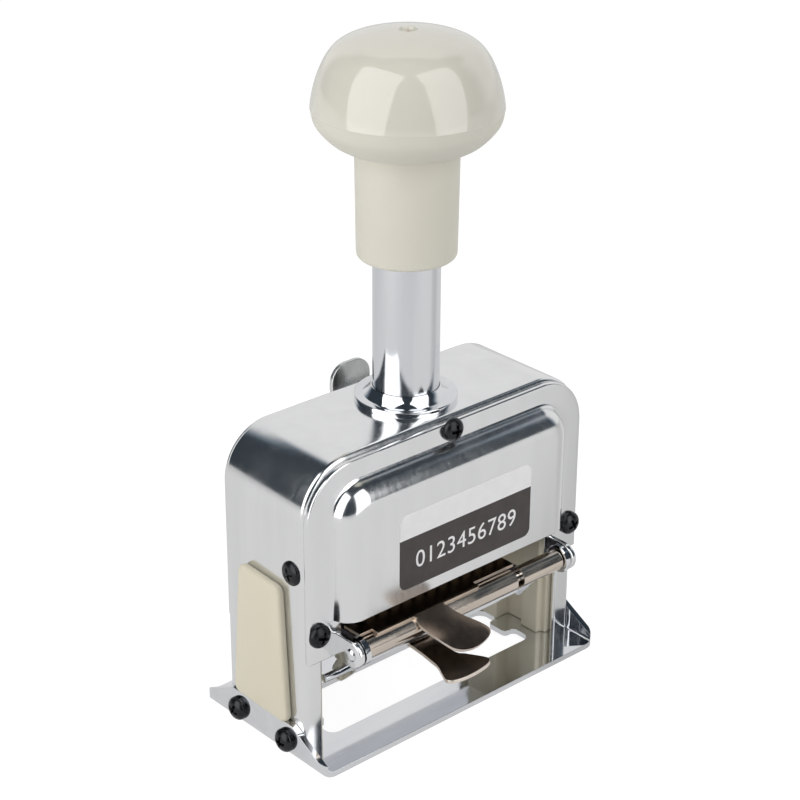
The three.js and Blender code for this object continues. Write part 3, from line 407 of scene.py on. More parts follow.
knobPlastic = plastic(
    "knobPlastic", (0.7, 0.68, 0.595), (0.68, 0.66, 0.572), roughness=0.08, grain=0.0005, coat=0.8,
    wave=0.004, satinBelow=knobLow.z + seamShare * (knobHigh.z - knobLow.z),
)
sleevePlastic = plastic(
    "sleevePlastic", (0.71, 0.685, 0.595), (0.69, 0.663, 0.57), roughness=0.34, grain=0.0015, coat=0.0,
)
padPlastic = plastic(
    "padPlastic", (0.7, 0.65, 0.52), (0.67, 0.62, 0.49), roughness=0.36, grain=0.0015, coat=0.0,
)
inkedFelt = feltMaterial()
print("materials made")

# Frame

arch = {
    "wall": 1.5, "flange": 5, "corner": 13.6, "bend": 1.1, "edge": 0.25, "turnSteps": 28,
    "collarHole": 9.7, "holeReach": 9,
}
frameLow, frameHigh = span("frame")


def makeFrame():
    half, depth, wall, flange = frameHigh.x, frameHigh.y, arch["wall"], arch["flange"]
    section = filleted([
        (0, -depth, arch["bend"]), (0, depth, arch["bend"]),
        (flange, depth, arch["edge"]), (flange, depth - wall, arch["edge"]),
        (wall, depth - wall, arch["edge"]), (wall, wall - depth, arch["edge"]),
        (flange, wall - depth, arch["edge"]), (flange, -depth, arch["edge"]),
    ], 5)
    lines = [
        archLine(half - inset, frameLow.z, frameHigh.z - inset, arch["corner"] - inset, arch["turnSteps"])
        for inset, y in section
    ]
    rings = []
    for i in range(len(lines[0])):
        rings.append([(line[i][0], y, line[i][1]) for line, (inset, y) in zip(lines, section)])
    body = loft("housing_arch", rings)
    radius, reach = arch["collarHole"], arch["holeReach"]
    low, high = frameHigh.z - reach, frameHigh.z + reach
    hole = turned("hole", [(0, low), (radius, low), (radius, high), (0, high)])
    settle(combined(body, "DIFFERENCE", hole), housingMetal, "frame", smooth=35)


makeFrame()

# Covers

cover = {
    "edge": 0.45, "panelHalf": 36.5, "panelTop": 70.3, "panelBottom": 36.6, "panelCorner": 8, "foot": 1.2,
    "brow": 5.6, "slope": 70, "flangeRows": (0, 1.2, 2.6, 3.8), "legInner": 34, "lugRadius": 3.5,
    "lugSheet": 1.6, "lugOuter": 35.6, "lugEdge": 0.35, "turnSteps": 20,
}
# A cover stays a little inside the frame's outline: sideInset at its ends and topInset above.
frontForm = {"sideInset": 0.2, "topInset": 0.9, "corner": 13.3, "sheet": 1.6, "depth": 4.7}
backForm = {"sideInset": 0.9, "topInset": 0.9, "corner": 12.7, "sheet": 1.0, "depth": 5.3}
faceY = -frameHigh.y - frontForm["sheet"]
coverBottom = span("back_cover")[0].z
rodLow, rodHigh = span("pad_rod")
rodY, rodZ = (rodLow.y + rodHigh.y) / 2, (rodLow.z + rodHigh.z) / 2


def panelProfile(depth):  # (inset from the panel's outline, height over the flange)
    slope = math.radians(cover["slope"])
    foot, brow = cover["foot"], cover["brow"]
    run = (depth - (foot + brow) * (1 - math.cos(slope))) / math.sin(slope)
    points = [(foot * math.sin(slope * k / 5), foot * (1 - math.cos(slope * k / 5))) for k in range(6)]
    x, z = points[-1][0] + run * math.cos(slope), points[-1][1] + run * math.sin(slope)
    for k in range(9):
        turn = slope * (1 - k / 8)
        inward = brow * (math.sin(slope) - math.sin(turn))
        points.append((x + inward, z + brow * (math.cos(turn) - math.cos(slope))))
    return [(inset - foot, height) for inset, height in points]


def coverSkin(name, form):  # drawn for the front
    steps = cover["turnSteps"]
    half, top = frameHigh.x - form["sideInset"], frameHigh.z - form["topInset"]
    face = -frameHigh.y - form["sheet"]
    low = cover["panelBottom"]
    lines = [(archLine(half - e, low, top - e, form["corner"] - e, steps), 0) for e in cover["flangeRows"]]
    profile = panelProfile(form["depth"])
    lastInset, lastHeight = profile[-1]
    profile += [(lastInset + 0.5, lastHeight), (lastInset + 2, lastHeight)]
    panelHalf, panelTop = cover["panelHalf"], cover["panelTop"]
    for inset, height in profile:
        corner = max(cover["panelCorner"] - inset, 0.6)
        lines.append((archLine(panelHalf - inset, low, panelTop - inset, corner, steps), height))
    points = [(x, face - height, z) for line, height in lines for x, z in line]
    size = len(lines[0][0])
    faces = gridFaces(len(lines), size)
    last = (len(lines) - 1) * size
    faces.append(tuple(range(last, last + size)))
    columns = [-line[0][0] for line, height in lines[:5]] + [panelHalf - 0.5, cover["legInner"]]
    rows = [low, (low + coverBottom) / 2, coverBottom]
    for side in (-1, 1):  # the cover's two legs, beside the opening, wound so that both face the same way
        for a, b, c, d in gridFaces(len(rows), len(columns), len(points)):
            faces.append((a, d, c, b) if side > 0 else (b, c, d, a))
        points += [(side * x, face, z) for z in rows for x in columns]
    skin = newPiece(name, points, faces)
    largest = max(skin.data.polygons, key=lambda polygon: polygon.area)
    if largest.normal.y > 0:
        skin.data.flip_normals()
    return eased(walled(skin, form["sheet"]), min(cover["edge"], form["sheet"] * 0.4), 3, 50)


def lug(side):
    radius = cover["lugRadius"]
    outline = [(faceY + 1, rodZ - radius), *arc(rodY, rodZ, radius, 270, 90, 20), (faceY + 1, rodZ + radius)]
    inner = cover["lugOuter"] - cover["lugSheet"]
    piece = plate("lug", outline, "x", side * inner, side * cover["lugOuter"])
    return eased(piece, cover["lugEdge"], 3)


def makeCovers():
    front = joined("front_cover_sheet", coverSkin("frontSkin", frontForm), lug(-1), lug(1))
    settle(front, housingMetal, "front_cover")
    back = coverSkin("back_cover_sheet", backForm)
    applied(back)
    back.data.transform(Matrix.Translation((0, -plungerY, 0)))
    back.data.transform(Matrix.Rotation(math.pi, 4, "Z"))
    back.data.transform(Matrix.Translation((0, plungerY, 0)))
    settle(back, housingMetal, "back_cover")


makeCovers()

# Base plate

base = {
    "sheet": 1.5, "bend": 2.2, "corner": 3.6, "earTop": 9.1, "earLevel": 11.2, "edge": 0.3,
    "windowHalf": 33.5, "windowFront": -11.35, "windowBack": 7.2, "windowCorner": 2.4,
    "tongueReach": 3.2, "tongueHalf": 3.2, "tongueY": -2.2, "notch": 1.3, "lip": 0.4,
    "cut": (-3, 20),  # how low and high the cutting shapes reach
}
baseHigh = span("base_plate")[1]


def makeBase():
    halfX, halfY, bend = baseHigh.x, baseHigh.y, base["bend"]
    rows = [-halfY + (halfY - base["earLevel"]) * k / 8 for k in range(8)]
    rows += [-base["earLevel"] + 2 * base["earLevel"] * k / 4 for k in range(5)]
    rows += [-y for y in reversed(rows[:8])]
    rings = []
    for y in rows:
        rise = min(1, (halfY - abs(y)) / (halfY - base["earLevel"]))
        top = bend + base["lip"] + (base["earTop"] - bend - base["lip"]) * rise
        bent = arc(halfX - bend, bend, bend, -90, 0, 8)[1:]
        right = [(halfX - bend, 0), *bent, (halfX, (bend + top) / 2), (halfX, top)]
        line = [(-x, z) for x, z in reversed(right)] + [(-halfX / 2, 0), (halfX / 2, 0)] + right
        rings.append([(x, y, z) for x, z in line])
    sheet = loft("base_sheet", rings, closed=False, caps=False)
    face = max(sheet.data.polygons, key=lambda polygon: polygon.area)
    if face.normal.z > 0:
        sheet.data.flip_normals()
    applied(walled(sheet, base["sheet"]))
    outer, corner = halfX + 0.1, base["corner"]
    room = plate("room", filleted([
        (-outer, -halfY, corner), (outer, -halfY, corner), (outer, halfY, corner), (-outer, halfY, corner),
    ], 10), "z", *base["cut"])
    low, high = base["tongueY"] - base["tongueHalf"], base["tongueY"] + base["tongueHalf"]
    wide, fillet, notch = base["windowHalf"], base["windowCorner"], base["notch"]
    reach = wide - base["tongueReach"]
    right = [
        (wide, base["windowFront"], fillet), (wide, low, notch), (reach, low, notch),
        (reach, high, notch), (wide, high, notch), (wide, base["windowBack"], fillet),
    ]
    left = [(-x, y, radius) for x, y, radius in reversed(right)]
    window = plate("window", filleted(right + left, 6), "z", *base["cut"])
    combined(sheet, "INTERSECT", room)
    combined(sheet, "DIFFERENCE", window)
    tidyMesh(sheet, 5e-6)
    settle(eased(sheet, base["edge"], 3, 40), mirrorMetal, "base_plate")


makeBase()
print("housing made")

# Side guides, which show as pads outside and rails inside

guide = {
    "inner": 37.6, "back": 12.4, "low": 1.5, "high": 56, "edge": 0.5, "railEdge": 11.1, "railFront": 35.9,
    "railRear": 33.1, "channel": 3.1, "middle": -2.2, "wallGap": 0.05,
    # the pad's corners as (y, z), from the lower front round to the upper front
    "padCorners": [(-9.8, 8.8), (10.3, 9.2), (7.2, 45.8), (-7.7, 45.1)],
    "padProud": 2.2, "padRound": 2.2, "padEdge": 0.9, "padGap": 0.02,
}


def makeGuide(side, word):
    wall, inner, back = frameHigh.x - arch["wall"] - guide["wallGap"], guide["inner"], guide["back"]
    rail, railFront, railRear = guide["railEdge"], guide["railFront"], guide["railRear"]
    near, far = guide["middle"] - guide["channel"], guide["middle"] + guide["channel"]
    section = [
        (wall, -back), (wall, back), (inner, back), (inner, rail), (railRear, rail), (railRear, far),
        (inner, far), (inner, near), (railFront, near), (railFront, -rail), (inner, -rail), (inner, -back),
    ]
    moulding = plate("moulding", [(side * x, y) for x, y in section], "z", guide["low"], guide["high"])
    eased(moulding, guide["edge"], 3)
    outline = filleted([(y, z, guide["padRound"]) for y, z in guide["padCorners"]], 8)
    seat = frameHigh.x + guide["padGap"]
    pad = plate("pad", outline, "x", side * seat, side * (frameHigh.x + guide["padProud"]))
    eased(pad, guide["padEdge"], 5)
    settle(joined(f"guide_moulding_{word}", moulding, pad), padPlastic, f"guide_{word}")


makeGuide(-1, "left")
makeGuide(1, "right")

# Collar, plunger and knob

collar = {
    "bore": 8.12, "body": 8.9, "rim": 12.4, "tall": 1.5, "edge": 0.3, "neckFoot": 10.3, "neckWall": 0.3,
    "bow": 0.08, "steps": 10,
}


def makeCollar():
    low, high = span("collar")
    seat = frameHigh.z
    rim = seat + collar["tall"]
    foot, inner = collar["neckFoot"], collar["bore"] + collar["neckWall"]
    neck = []
    for k in range(collar["steps"] + 1):
        share = k / collar["steps"]
        inward = share + collar["bow"] * math.sin(share * math.pi)
        neck.append((foot - (foot - inner) * inward, rim + (high.z - rim) * share, 0))
    profile = filleted([
        (collar["bore"], low.z, 0.2), (collar["body"], low.z, 0.2), (collar["body"], seat, 0),
        (collar["rim"], seat, 0.1), (collar["rim"], rim, collar["edge"]), *neck, (collar["bore"], high.z, 0),
    ], 4)
    settle(turned("top_collar", profile, steps=128, ring=True), mirrorMetal, "collar", smooth=30)


makeCollar()

tube = {"radius": 8, "wall": 1.2, "edge": 0.3}


def makeTube():
    low, high = span("plunger_tube")
    inner = tube["radius"] - tube["wall"]
    profile = filleted([
        (inner, low.z, 0.2), (tube["radius"], low.z, tube["edge"]),
        (tube["radius"], high.z, tube["edge"]), (inner, high.z, 0.2),
    ], 3)
    settle(turned("plunger", profile, steps=128, ring=True), tubeMetal, "plunger_tube", smooth=50)


makeTube()

knob = {
    "bore": 8.12, "radius": 22, "dimple": 2.2, "dimpleDepth": 0.8,
    # (share of the radius, share of the height), from the foot to the seam and from the seam to the crown
    "lower": [
        (0.55, 0.09), (0.66, 0.1), (0.75, 0.122), (0.83, 0.165), (0.915, 0.232), (0.972, 0.3), (0.996, 0.385),
    ],
    "upper": [
        (1.0, 0.395), (0.992, 0.445), (0.97, 0.53), (0.938, 0.615), (0.894, 0.7), (0.835, 0.785),
        (0.745, 0.865), (0.62, 0.92), (0.44, 0.962), (0.27, 0.986), (0.1, 0.999),
    ],
}


def smoothLine(points, steps=8):  # a Catmull-Rom line through points
    ends = [points[0], *points, points[-1]]
    line = []
    for p0, p1, p2, p3 in zip(ends, ends[1:], ends[2:], ends[3:]):
        for k in range(steps):
            t = k / steps
            line.append(tuple(
                0.5 * (2 * b + (c - a) * t + (2 * a - 5 * b + 4 * c - d) * t**2
                       + (3 * b - a - 3 * c + d) * t**3)
                for a, b, c, d in zip(p0, p1, p2, p3)
            ))
    return [*line, points[-1]]


def makeKnob():
    low, top = knobLow.z, knobHigh.z
    skin = []
    for part in ("lower", "upper"):
        skin += smoothLine([(r * knob["radius"], low + h * (top - low)) for r, h in knob[part]])
    dimple, floor = knob["dimple"], top - knob["dimpleDepth"]
    profile = [
        (knob["bore"], low), *skin, (dimple - 0.1, top - 0.12), (dimple - 0.35, floor + 0.15),
        (dimple - 0.7, floor), (0, floor), (0, floor - 4), (knob["bore"], floor - 6),
    ]
    settle(turned("knob", profile, steps=160, ring=True), knobPlastic, "knob_cap", smooth=24)


makeKnob()

sleeve = {"bore": 8.12, "lowRadius": 11.75, "highRadius": 12.1, "intoKnob": 3.4, "edge": 1.1}


def makeSleeve():
    low, high = span("knob_sleeve")
    top = high.z + sleeve["intoKnob"]
    profile = filleted([
        (sleeve["bore"], low.z, 0.4), (sleeve["lowRadius"], low.z, sleeve["edge"]),
        (sleeve["highRadius"], top, 0), (sleeve["bore"], top, 0),
    ], 6)
    settle(turned("knob_neck", profile, steps=128, ring=True), sleevePlastic, "knob_sleeve", smooth=50)


makeSleeve()
print("plunger and knob made")

# Pad holder: rod, barrel, tray and the two finger tabs

holder = {
    "rodRadius": 1.3, "rodHead": 1.65, "ring": 3.6, "ringEdge": 0.25, "ringLeft": 32.2, "ringRight": 33.7,
    "rodGap": 0.15, "barrelRadius": 2.65, "slotLeft": 16.2, "slotWidth": 2.1, "slotReach": 5,
    "slotEdge": 0.08,
    "trayEdge": 0.15, "lidSheet": 0.8, "tabSheet": 0.85, "sheetEdge": 0.1,
    "lidBack": -14.3, "lidLeft": -31.8, "lidRight": 18, "notchLeft": -28, "notchRight": 4.4, "notchBack": 1.2,
    "lidRadius": 3.47, "lidTurn": 106,
    "tabLeft": -16.9, "tabRight": -7.3, "tabDrop": 3.5, "neckTop": 19.2, "tabColumns": 12,
    "upperDish": -0.5, "lowerDish": 0.6, "lowerDip": 1.2,
    # the two finger tabs as (y, left edge, right edge), from the root to the rounded end
    "upperTab": [
        (-24, -16.7, -6), (-26, -15.8, -4.1), (-28, -14.6, -2), (-29.8, -13.7, -0.75), (-31.2, -13, -0.6),
        (-32.4, -11.9, -1.9), (-33.1, -10.2, -4.2), (-33.45, -8.2, -6.4),
    ],
    "lowerTab": [
        (-8.6, -11.3, -4.6), (-22, -11.3, -4.4), (-25, -11.7, -2.8), (-27.5, -12.9, -1.4), (-30, -14.3, -0.6),
        (-31.6, -14.7, -1), (-32.7, -14, -2.6), (-33.2, -12.4, -5), (-33.45, -10.4, -7.6),
    ],
}


def makeRod():
    end, head, thin = rodHigh.x, holder["rodHead"], holder["rodRadius"]
    left, right, ring, edge = holder["ringLeft"], holder["ringRight"], holder["ring"], holder["ringEdge"]
    profile = [
        (0, -end), (head * 0.55, -end + 0.03), (head * 0.85, -end + 0.22), (head, -end + 0.55),
        (thin, -end + 0.6),
    ]
    ringLine = [
        (thin, left), (ring - edge, left), (ring, left + edge), (ring, right - edge), (ring - edge, right),
        (thin, right),
    ]
    profile += ringLine + [(r, -along) for r, along in reversed(profile)]
    settle(turned("pad_hinge_rod", profile, "x", (rodY, rodZ), 48), mirrorMetal, "pad_rod")


def makeBarrel():
    low, high = span("pad_barrel")
    bore, outer = holder["rodRadius"] + holder["rodGap"], holder["barrelRadius"]
    profile = filleted([
        (bore, low.x, 0.1), (outer, low.x, 0.25), (outer, high.x, 0.25), (bore, high.x, 0.1),
    ], 3)
    barrel = turned("pad_barrel_tube", profile, "x", (rodY, rodZ), 64, ring=True)
    left, floor, reach = holder["slotLeft"], rodZ - holder["rodRadius"], holder["slotReach"]
    slot = plate("slot", [
        (rodY - reach, floor), (rodY + reach, floor),
        (rodY + reach, rodZ + reach), (rodY - reach, rodZ + reach),
    ], "x", left, left + holder["slotWidth"])
    combined(barrel, "DIFFERENCE", slot)
    settle(eased(barrel, holder["slotEdge"], 2, 50), barrelPlate, "pad_barrel")


def makeTray():
    tray = nodeCopy("pad_tray_sheet", "pad_tray")
    settle(eased(tray, holder["trayEdge"], 2, 40), mirrorMetal, "pad_tray")


# A finger tab's rows of points, from its root to its end. The sheet is dished across.
def tabRows(outline, heightAt, dish, columns):
    edges = smoothLine(outline, 4)
    start, length = edges[0][0], edges[0][0] - edges[-1][0]
    wide = max(right - left for y, left, right in edges)
    rows = []
    for y, left, right in edges:
        share = (start - y) / length
        row = []
        for k in range(columns + 1):
            x = left + (right - left) * k / columns
            row.append((x, y, heightAt(share) + dish(share) * ((2 * x - left - right) / wide) ** 2))
        rows.append(row)
    return rows


def faceUp(piece):
    if sum(face.normal.z * face.area for face in piece.data.polygons) < 0:
        piece.data.flip_normals()


def platedSheet(piece, thickness, node):  # dark plate with a bare cut edge
    faceUp(piece)
    piece.data.materials.append(darkPlate)
    piece.data.materials.append(barePlate)
    settle(eased(walled(piece, thickness, 1), holder["sheetEdge"], 2, 50), None, node)


def makeLid():
    columns = holder["tabColumns"]
    top = rodZ + holder["lidRadius"]
    left, right = holder["tabLeft"], holder["tabRight"]
    tabXs = [left + (right - left) * k / columns for k in range(columns + 1)]
    wide = [holder["lidLeft"], holder["notchLeft"], *tabXs, holder["notchRight"], holder["lidRight"]]
    front = rodY + holder["notchBack"]
    crest = arc(rodY, rodZ, holder["lidRadius"], 90, holder["lidTurn"], 4)
    back = [[(x, y, top) for x in wide] for y in (holder["lidBack"], (holder["lidBack"] + front) / 2, front)]
    middle = [[(x, y, z) for x in wide[1:-1]] for y, z in [(front, top), *crest]]
    startY, startZ = crest[-1]
    drop = startZ - (rodZ - holder["tabDrop"])

    def height(share):
        return startZ - drop * (share + 0.05 * math.sin(share * math.pi) - 0.06 * share * (1 - share))

    def dish(share):
        return holder["upperDish"] * math.sin(math.pi * min(1, share * 1.1))

    rows = tabRows([(startY, left, right), *holder["upperTab"]], height, dish, columns)
    points, faces = [], []
    for grid in (back, middle, rows):
        faces += gridFaces(len(grid), len(grid[0]), len(points))
        points += [point for row in grid for point in row]
    platedSheet(newPiece("pad_lid_sheet", points, faces), holder["lidSheet"], "pad_lid")


def makeLowerTab():
    columns = holder["tabColumns"]

    def height(share):  # level at first, then dipping
        late = max(0, (share - 0.35) / 0.65)
        return holder["neckTop"] - holder["lowerDip"] * math.sin(late * math.pi * 0.9)

    def dish(share):
        return holder["lowerDish"] * max(0, share - 0.4)

    rows = tabRows(holder["lowerTab"], height, dish, columns)
    points = [point for row in rows for point in row]
    tab = newPiece("lower_finger_tab", points, gridFaces(len(rows), columns + 1))
    platedSheet(tab, holder["tabSheet"], "pad_tab")


tabRivet = {"shank": 0.9, "head": 1.7, "headTall": 0.6}


def makeRivet():
    low, high = span("pad_rivet")
    x, y = (low.x + high.x) / 2, (low.y + high.y) / 2
    shank, head, under = tabRivet["shank"], tabRivet["head"], low.z + tabRivet["headTall"]
    over = high.z - tabRivet["headTall"]
    profile = [
        (0, low.z), (1.0, low.z + 0.03), (1.5, low.z + 0.25), (head, under), (shank, under),
        (shank, over), (head, over), (head, high.z), (0, high.z),
    ]
    settle(turned("tab_rivet", profile, "z", (x, y), 40), mirrorMetal, "pad_rivet")


inkPad = {"columns": 60, "rows": 16, "crown": 0.45, "shoulder": 0.5, "foot": 0.1}


def makeInkPad():
    low, high = span("ink_pad")
    columns, rows = inkPad["columns"], inkPad["rows"]
    points = []
    for r in range(rows + 1):
        for k in range(columns + 1):
            u, v = 2 * k / columns - 1, 2 * r / rows - 1
            crown = inkPad["crown"] * (1 - u**12) * (1 - v**8)
            x, y = low.x + (high.x - low.x) * k / columns, low.y + (high.y - low.y) * r / rows
            points.append((x, y, high.z - inkPad["shoulder"] + crown))
    felt = newPiece("inked_pad", points, gridFaces(rows + 1, columns + 1))
    faceUp(felt)
    applied(walled(felt, high.z - low.z - inkPad["shoulder"] - inkPad["foot"]))
    settle(felt, inkedFelt, "ink_pad")


makeRod()
makeBarrel()
makeTray()
makeLid()
makeLowerTab()
makeRivet()
makeInkPad()
print("pad holder made")

# The head inside, and the small turned parts

innerPieces = (
    ("collar_lock_nut", "collar_nut", machinedSteel, 0.3),
    ("head_beam", "crosshead", machinedSteel, 0.25),
    ("head_side_left", "head_plate_left", machinedSteel, 0.2),
    ("head_side_right", "head_plate_right", machinedSteel, 0.2),
    ("wheel_shaft", "wheel_axle", machinedSteel, 0.2),
    ("detent_springs", "detent_comb", springSteel, 0.05),
    ("feed_carrier", "pawl_carrier", machinedSteel, 0.12),
    ("feed_shaft", "pawl_shaft", machinedSteel, 0.08),
    ("feed_pawls", "pawl_comb", machinedSteel, 0.05),
)
for name, node, material, width in innerPieces:
    broken(name, node, material, width)
for node in frame["nodes"]:
    if node.startswith("number_wheel_"):
        broken("type_" + node.removeprefix("number_"), node, typeBrass, 0.08)
print("head made")

# Counter lever behind the top

lever = {
    "half": 3, "tabHalf": 6.1, "tabShift": 0.9, "tabTall": 8, "reach": 22.6, "hub": 5.2, "edge": 0.3,
    "tabRound": 4.6,
}


def makeLever():
    low, high = span("counter_lever")
    pivotZ = low.z + lever["hub"]
    top = pivotZ + lever["reach"]
    neck, shoulder, corner = lever["half"], top - lever["tabTall"], lever["tabRound"]
    left, right = lever["tabShift"] - lever["tabHalf"], lever["tabShift"] + lever["tabHalf"]
    outline = filleted([
        (-neck, pivotZ, 0), (-neck, shoulder - 2, 2.4), (left, shoulder + 1, 2.6), (left, top, corner),
        (right, top, corner), (right, shoulder + 1, 2.6), (neck, shoulder - 2, 2.4), (neck, pivotZ, 0),
    ], 8)
    blade = plate("blade", outline, "y", low.y, high.y)
    hub = plate("hub", arc(0, pivotZ, lever["hub"], 0, 360, 48)[:-1], "y", low.y, high.y)
    combined(blade, "UNION", hub)
    settle(eased(blade, lever["edge"], 3), leverMetal, "counter_lever")


leverRivet = {"shank": 2, "head": 3.2}


def makeLeverRivet():
    low, high = span("lever_pivot")
    pivotZ = (low.z + high.z) / 2
    shank, head = leverRivet["shank"], leverRivet["head"]
    profile = [
        (0, low.y), (head, low.y), (head, low.y + 1), (shank, low.y + 1.1), (shank, high.y - 1.2),
        (head, high.y - 1.2), (head - 0.05, high.y - 0.6), (head * 0.75, high.y - 0.15), (0, high.y),
    ]
    settle(turned("lever_rivet", profile, "y", (0, pivotZ), 48), machinedSteel, "lever_pivot")


makeLever()
makeLeverRivet()

# Screws, set by a node tree on marked points

screw = {
    "radius": 2.95, "tall": 2.3, "rim": 0.5, "cross": 1.75, "crossWidth": 0.42, "crossDepth": 1.3,
    "edge": 0.06, "sink": 1, "seed": 7,
    "plain": (1, 1, 1), "flat": (1.02, 1.02, 0.62), "small": (0.42, 0.42, 0.42),
    # how far the heads stand from the middle of their nodes
    "topLift": 1.6, "sideDrop": 0.9, "earDrop": 0.5, "backInset": 1.5,
}


def screwHead():
    radius, rim, tall = screw["radius"], screw["rim"], screw["tall"]
    profile = [(0, 0), (radius - 0.1, 0), (radius, 0.15), (radius, rim)]
    for k in range(1, 10):
        turn = math.pi / 2 * k / 9
        profile.append((radius * math.cos(turn), rim + (tall - rim) * math.sin(turn)))
    head = turned("screwHead", profile, steps=40)
    rings = []
    for depth, size in ((-0.4, 1.12), (screw["crossDepth"], 0.62)):
        w, r = screw["crossWidth"] * size, screw["cross"] * size
        plus, arm = [], [(w, w), (r, w), (r, -w)]
        for quarter in range(4):
            plus += arm
            arm = [(y, -x) for x, y in arm]
        rings.append([(x, y, tall - depth) for x, y in plus])
    combined(head, "DIFFERENCE", loft("cross", rings))
    head.data.transform(Matrix.Translation((0, -plungerY, 0)))
    applied(eased(head, screw["edge"], 2, 30))
    for face in head.data.polygons:
        face.use_smooth = True
    head.data.set_sharp_from_angle(angle=math.radians(35))
    head.data.materials.append(blackOxide)
    return head


def socketId(tree, name):
    items = tree.interface.items_tree
    return next(item.identifier for item in items if item.name == name and item.in_out == "INPUT")


def startTree(name, *inputs):  # a node tree that takes and gives geometry, with named inputs
    tree = bpy.data.node_groups.new(name, "GeometryNodeTree")
    for label, kind in (("Geometry", "Geometry"), *inputs):
        tree.interface.new_socket(label, in_out="INPUT", socket_type=f"NodeSocket{kind}")
    tree.interface.new_socket("Geometry", in_out="OUTPUT", socket_type="NodeSocketGeometry")
    return tree, add(tree, "NodeGroupInput").outputs


def endTree(tree, geometry, finish):
    real = add(tree, "GeometryNodeRealizeInstances", {"Geometry": geometry}).outputs[0]
    done = add(tree, "GeometryNodeSetMaterial", {"Geometry": real, "Material": finish}).outputs[0]
    add(tree, "NodeGroupOutput", {"Geometry": done})
    return tree


def marked(tree, name):  # a vector written on the marked points
    kind = "GeometryNodeInputNamedAttribute"
    return add(tree, kind, {"Name": name}, data_type="FLOAT_VECTOR").outputs["Attribute"]


def screwTree():
    tree, given = startTree("screwsOnPoints", ("Head", "Object"), ("Seed", "Int"), ("Finish", "Material"))
    facing, size = marked(tree, "facing"), marked(tree, "size")
    turn = add(tree, "FunctionNodeAlignRotationToVector", {"Vector": facing}, axis="Z").outputs[0]
    spin = add(tree, "FunctionNodeRandomValue", {"Seed": given["Seed"]}, data_type="FLOAT")
    spin.inputs[3].default_value = math.tau
    twist = {"Axis": (0, 0, 1), "Angle": spin.outputs[1]}
    local = add(tree, "FunctionNodeAxisAngleToRotation", twist).outputs[0]
    turns = {"Rotation": turn, "Rotate By": local}
    both = add(tree, "FunctionNodeRotateRotation", turns, rotation_space="LOCAL").outputs[0]
    head = add(tree, "GeometryNodeObjectInfo", {"Object": given["Head"]}).outputs["Geometry"]
    places = {"Points": given["Geometry"], "Instance": head, "Rotation": both, "Scale": size}
    placed = add(tree, "GeometryNodeInstanceOnPoints", places).outputs[0]
    return endTree(tree, placed, given["Finish"])


def makeScrews(name, sites, head, tree, finish, *nodes):
    piece = newPiece(name, [place for place, facing, size in sites], [])
    marks = piece.data.attributes
    marks.new("facing", "FLOAT_VECTOR", "POINT")
    marks.new("size", "FLOAT_VECTOR", "POINT")
    for i, (place, direction, scale) in enumerate(sites):
        marks["facing"].data[i].vector = direction
        marks["size"].data[i].vector = scale
    modifier = piece.modifiers.new("screws", "NODES")
    modifier.node_group = tree
    modifier[socketId(tree, "Head")] = head
    modifier[socketId(tree, "Seed")] = screw["seed"]
    modifier[socketId(tree, "Finish")] = finish
    settle(applied(piece), None, *nodes)


def screwSite(node, facing, size, shift=(0, 0, 0)):  # where a screw's head sits, from its node's box
    low, high = span(node)
    place = (low + high) / 2 + Vector(shift)
    axis = max(range(3), key=lambda i: abs(facing[i]))
    reach = (max if facing[axis] > 0 else min)(low[axis], high[axis])
    depth = screw["tall"] * size[2] + screw["sink"] * (1 - size[2])  # a flatter head sits a little deeper
    place[axis] = reach - facing[axis] * depth
    return place


def makeAllScrews():
    head = screwHead()
    tree = screwTree()
    plain, flat, inset = screw["plain"], screw["flat"], screw["backInset"]
    front, back = (0, -1, 0), (0, 1, 0)
    upper, lower, earLower = (0, 0, screw["topLift"]), (0, 0, -screw["sideDrop"]), (0, 0, -screw["earDrop"])
    groups = {
        "front_cover_screws": [
            ("front_screw_top", front, plain, upper),
            ("front_screw_left", front, plain, lower),
            ("front_screw_right", front, plain, lower),
        ],
        "back_cover_screws": [
            ("back_screw_top", back, plain),
            ("back_screw_left", back, plain, (inset, 0, 0)),
            ("back_screw_right", back, plain, (-inset, 0, 0)),
        ],
    }
    for word, facing in (("left", (-1, 0, 0)), ("right", (1, 0, 0))):
        groups[f"{word}_end_screws"] = [
            (f"base_screw_{word}_front", facing, plain, earLower),
            (f"base_screw_{word}_back", facing, plain, earLower),
            (f"side_screw_{word}", facing, flat),
        ]
    for name, screws in groups.items():
        sites = [(screwSite(*one), one[1], one[2]) for one in screws]
        makeScrews(name, sites, head, tree, blackOxide, *[one[0] for one in screws])
    top = (0, 0, span("knob_screw")[1].z - 1.0)
    makeScrews("knob_top_screw", [(top, (0, 0, 1), screw["small"])], head, tree, barePlate, "knob_screw")
    bpy.data.objects.remove(head)


makeAllScrews()
print("screws set")

# Return springs, wound by a node tree

spring = {"radius": 3.4, "wire": 0.5, "turns": 7, "across": 20}


def springTree():
    sizes = [(name, "Float") for name in ("Radius", "Wire", "Height", "Turns")]
    tree, given = startTree("returnSpring", *sizes, ("Foot", "Vector"), ("Finish", "Material"))
    coil = add(tree, "GeometryNodeCurveSpiral", {
        "Resolution": 24, "Rotations": given["Turns"], "Start Radius": given["Radius"],
        "End Radius": given["Radius"], "Height": given["Height"],
    }).outputs[0]
    ring = {"Resolution": 10, "Radius": given["Wire"]}
    wire = add(tree, "GeometryNodeCurvePrimitiveCircle", ring).outputs[0]
    swept = {"Curve": coil, "Profile Curve": wire, "Fill Caps": True}
    mesh = add(tree, "GeometryNodeCurveToMesh", swept).outputs[0]
    placed = add(tree, "GeometryNodeTransform", {"Geometry": mesh, "Translation": given["Foot"]}).outputs[0]
    return endTree(tree, placed, given["Finish"])


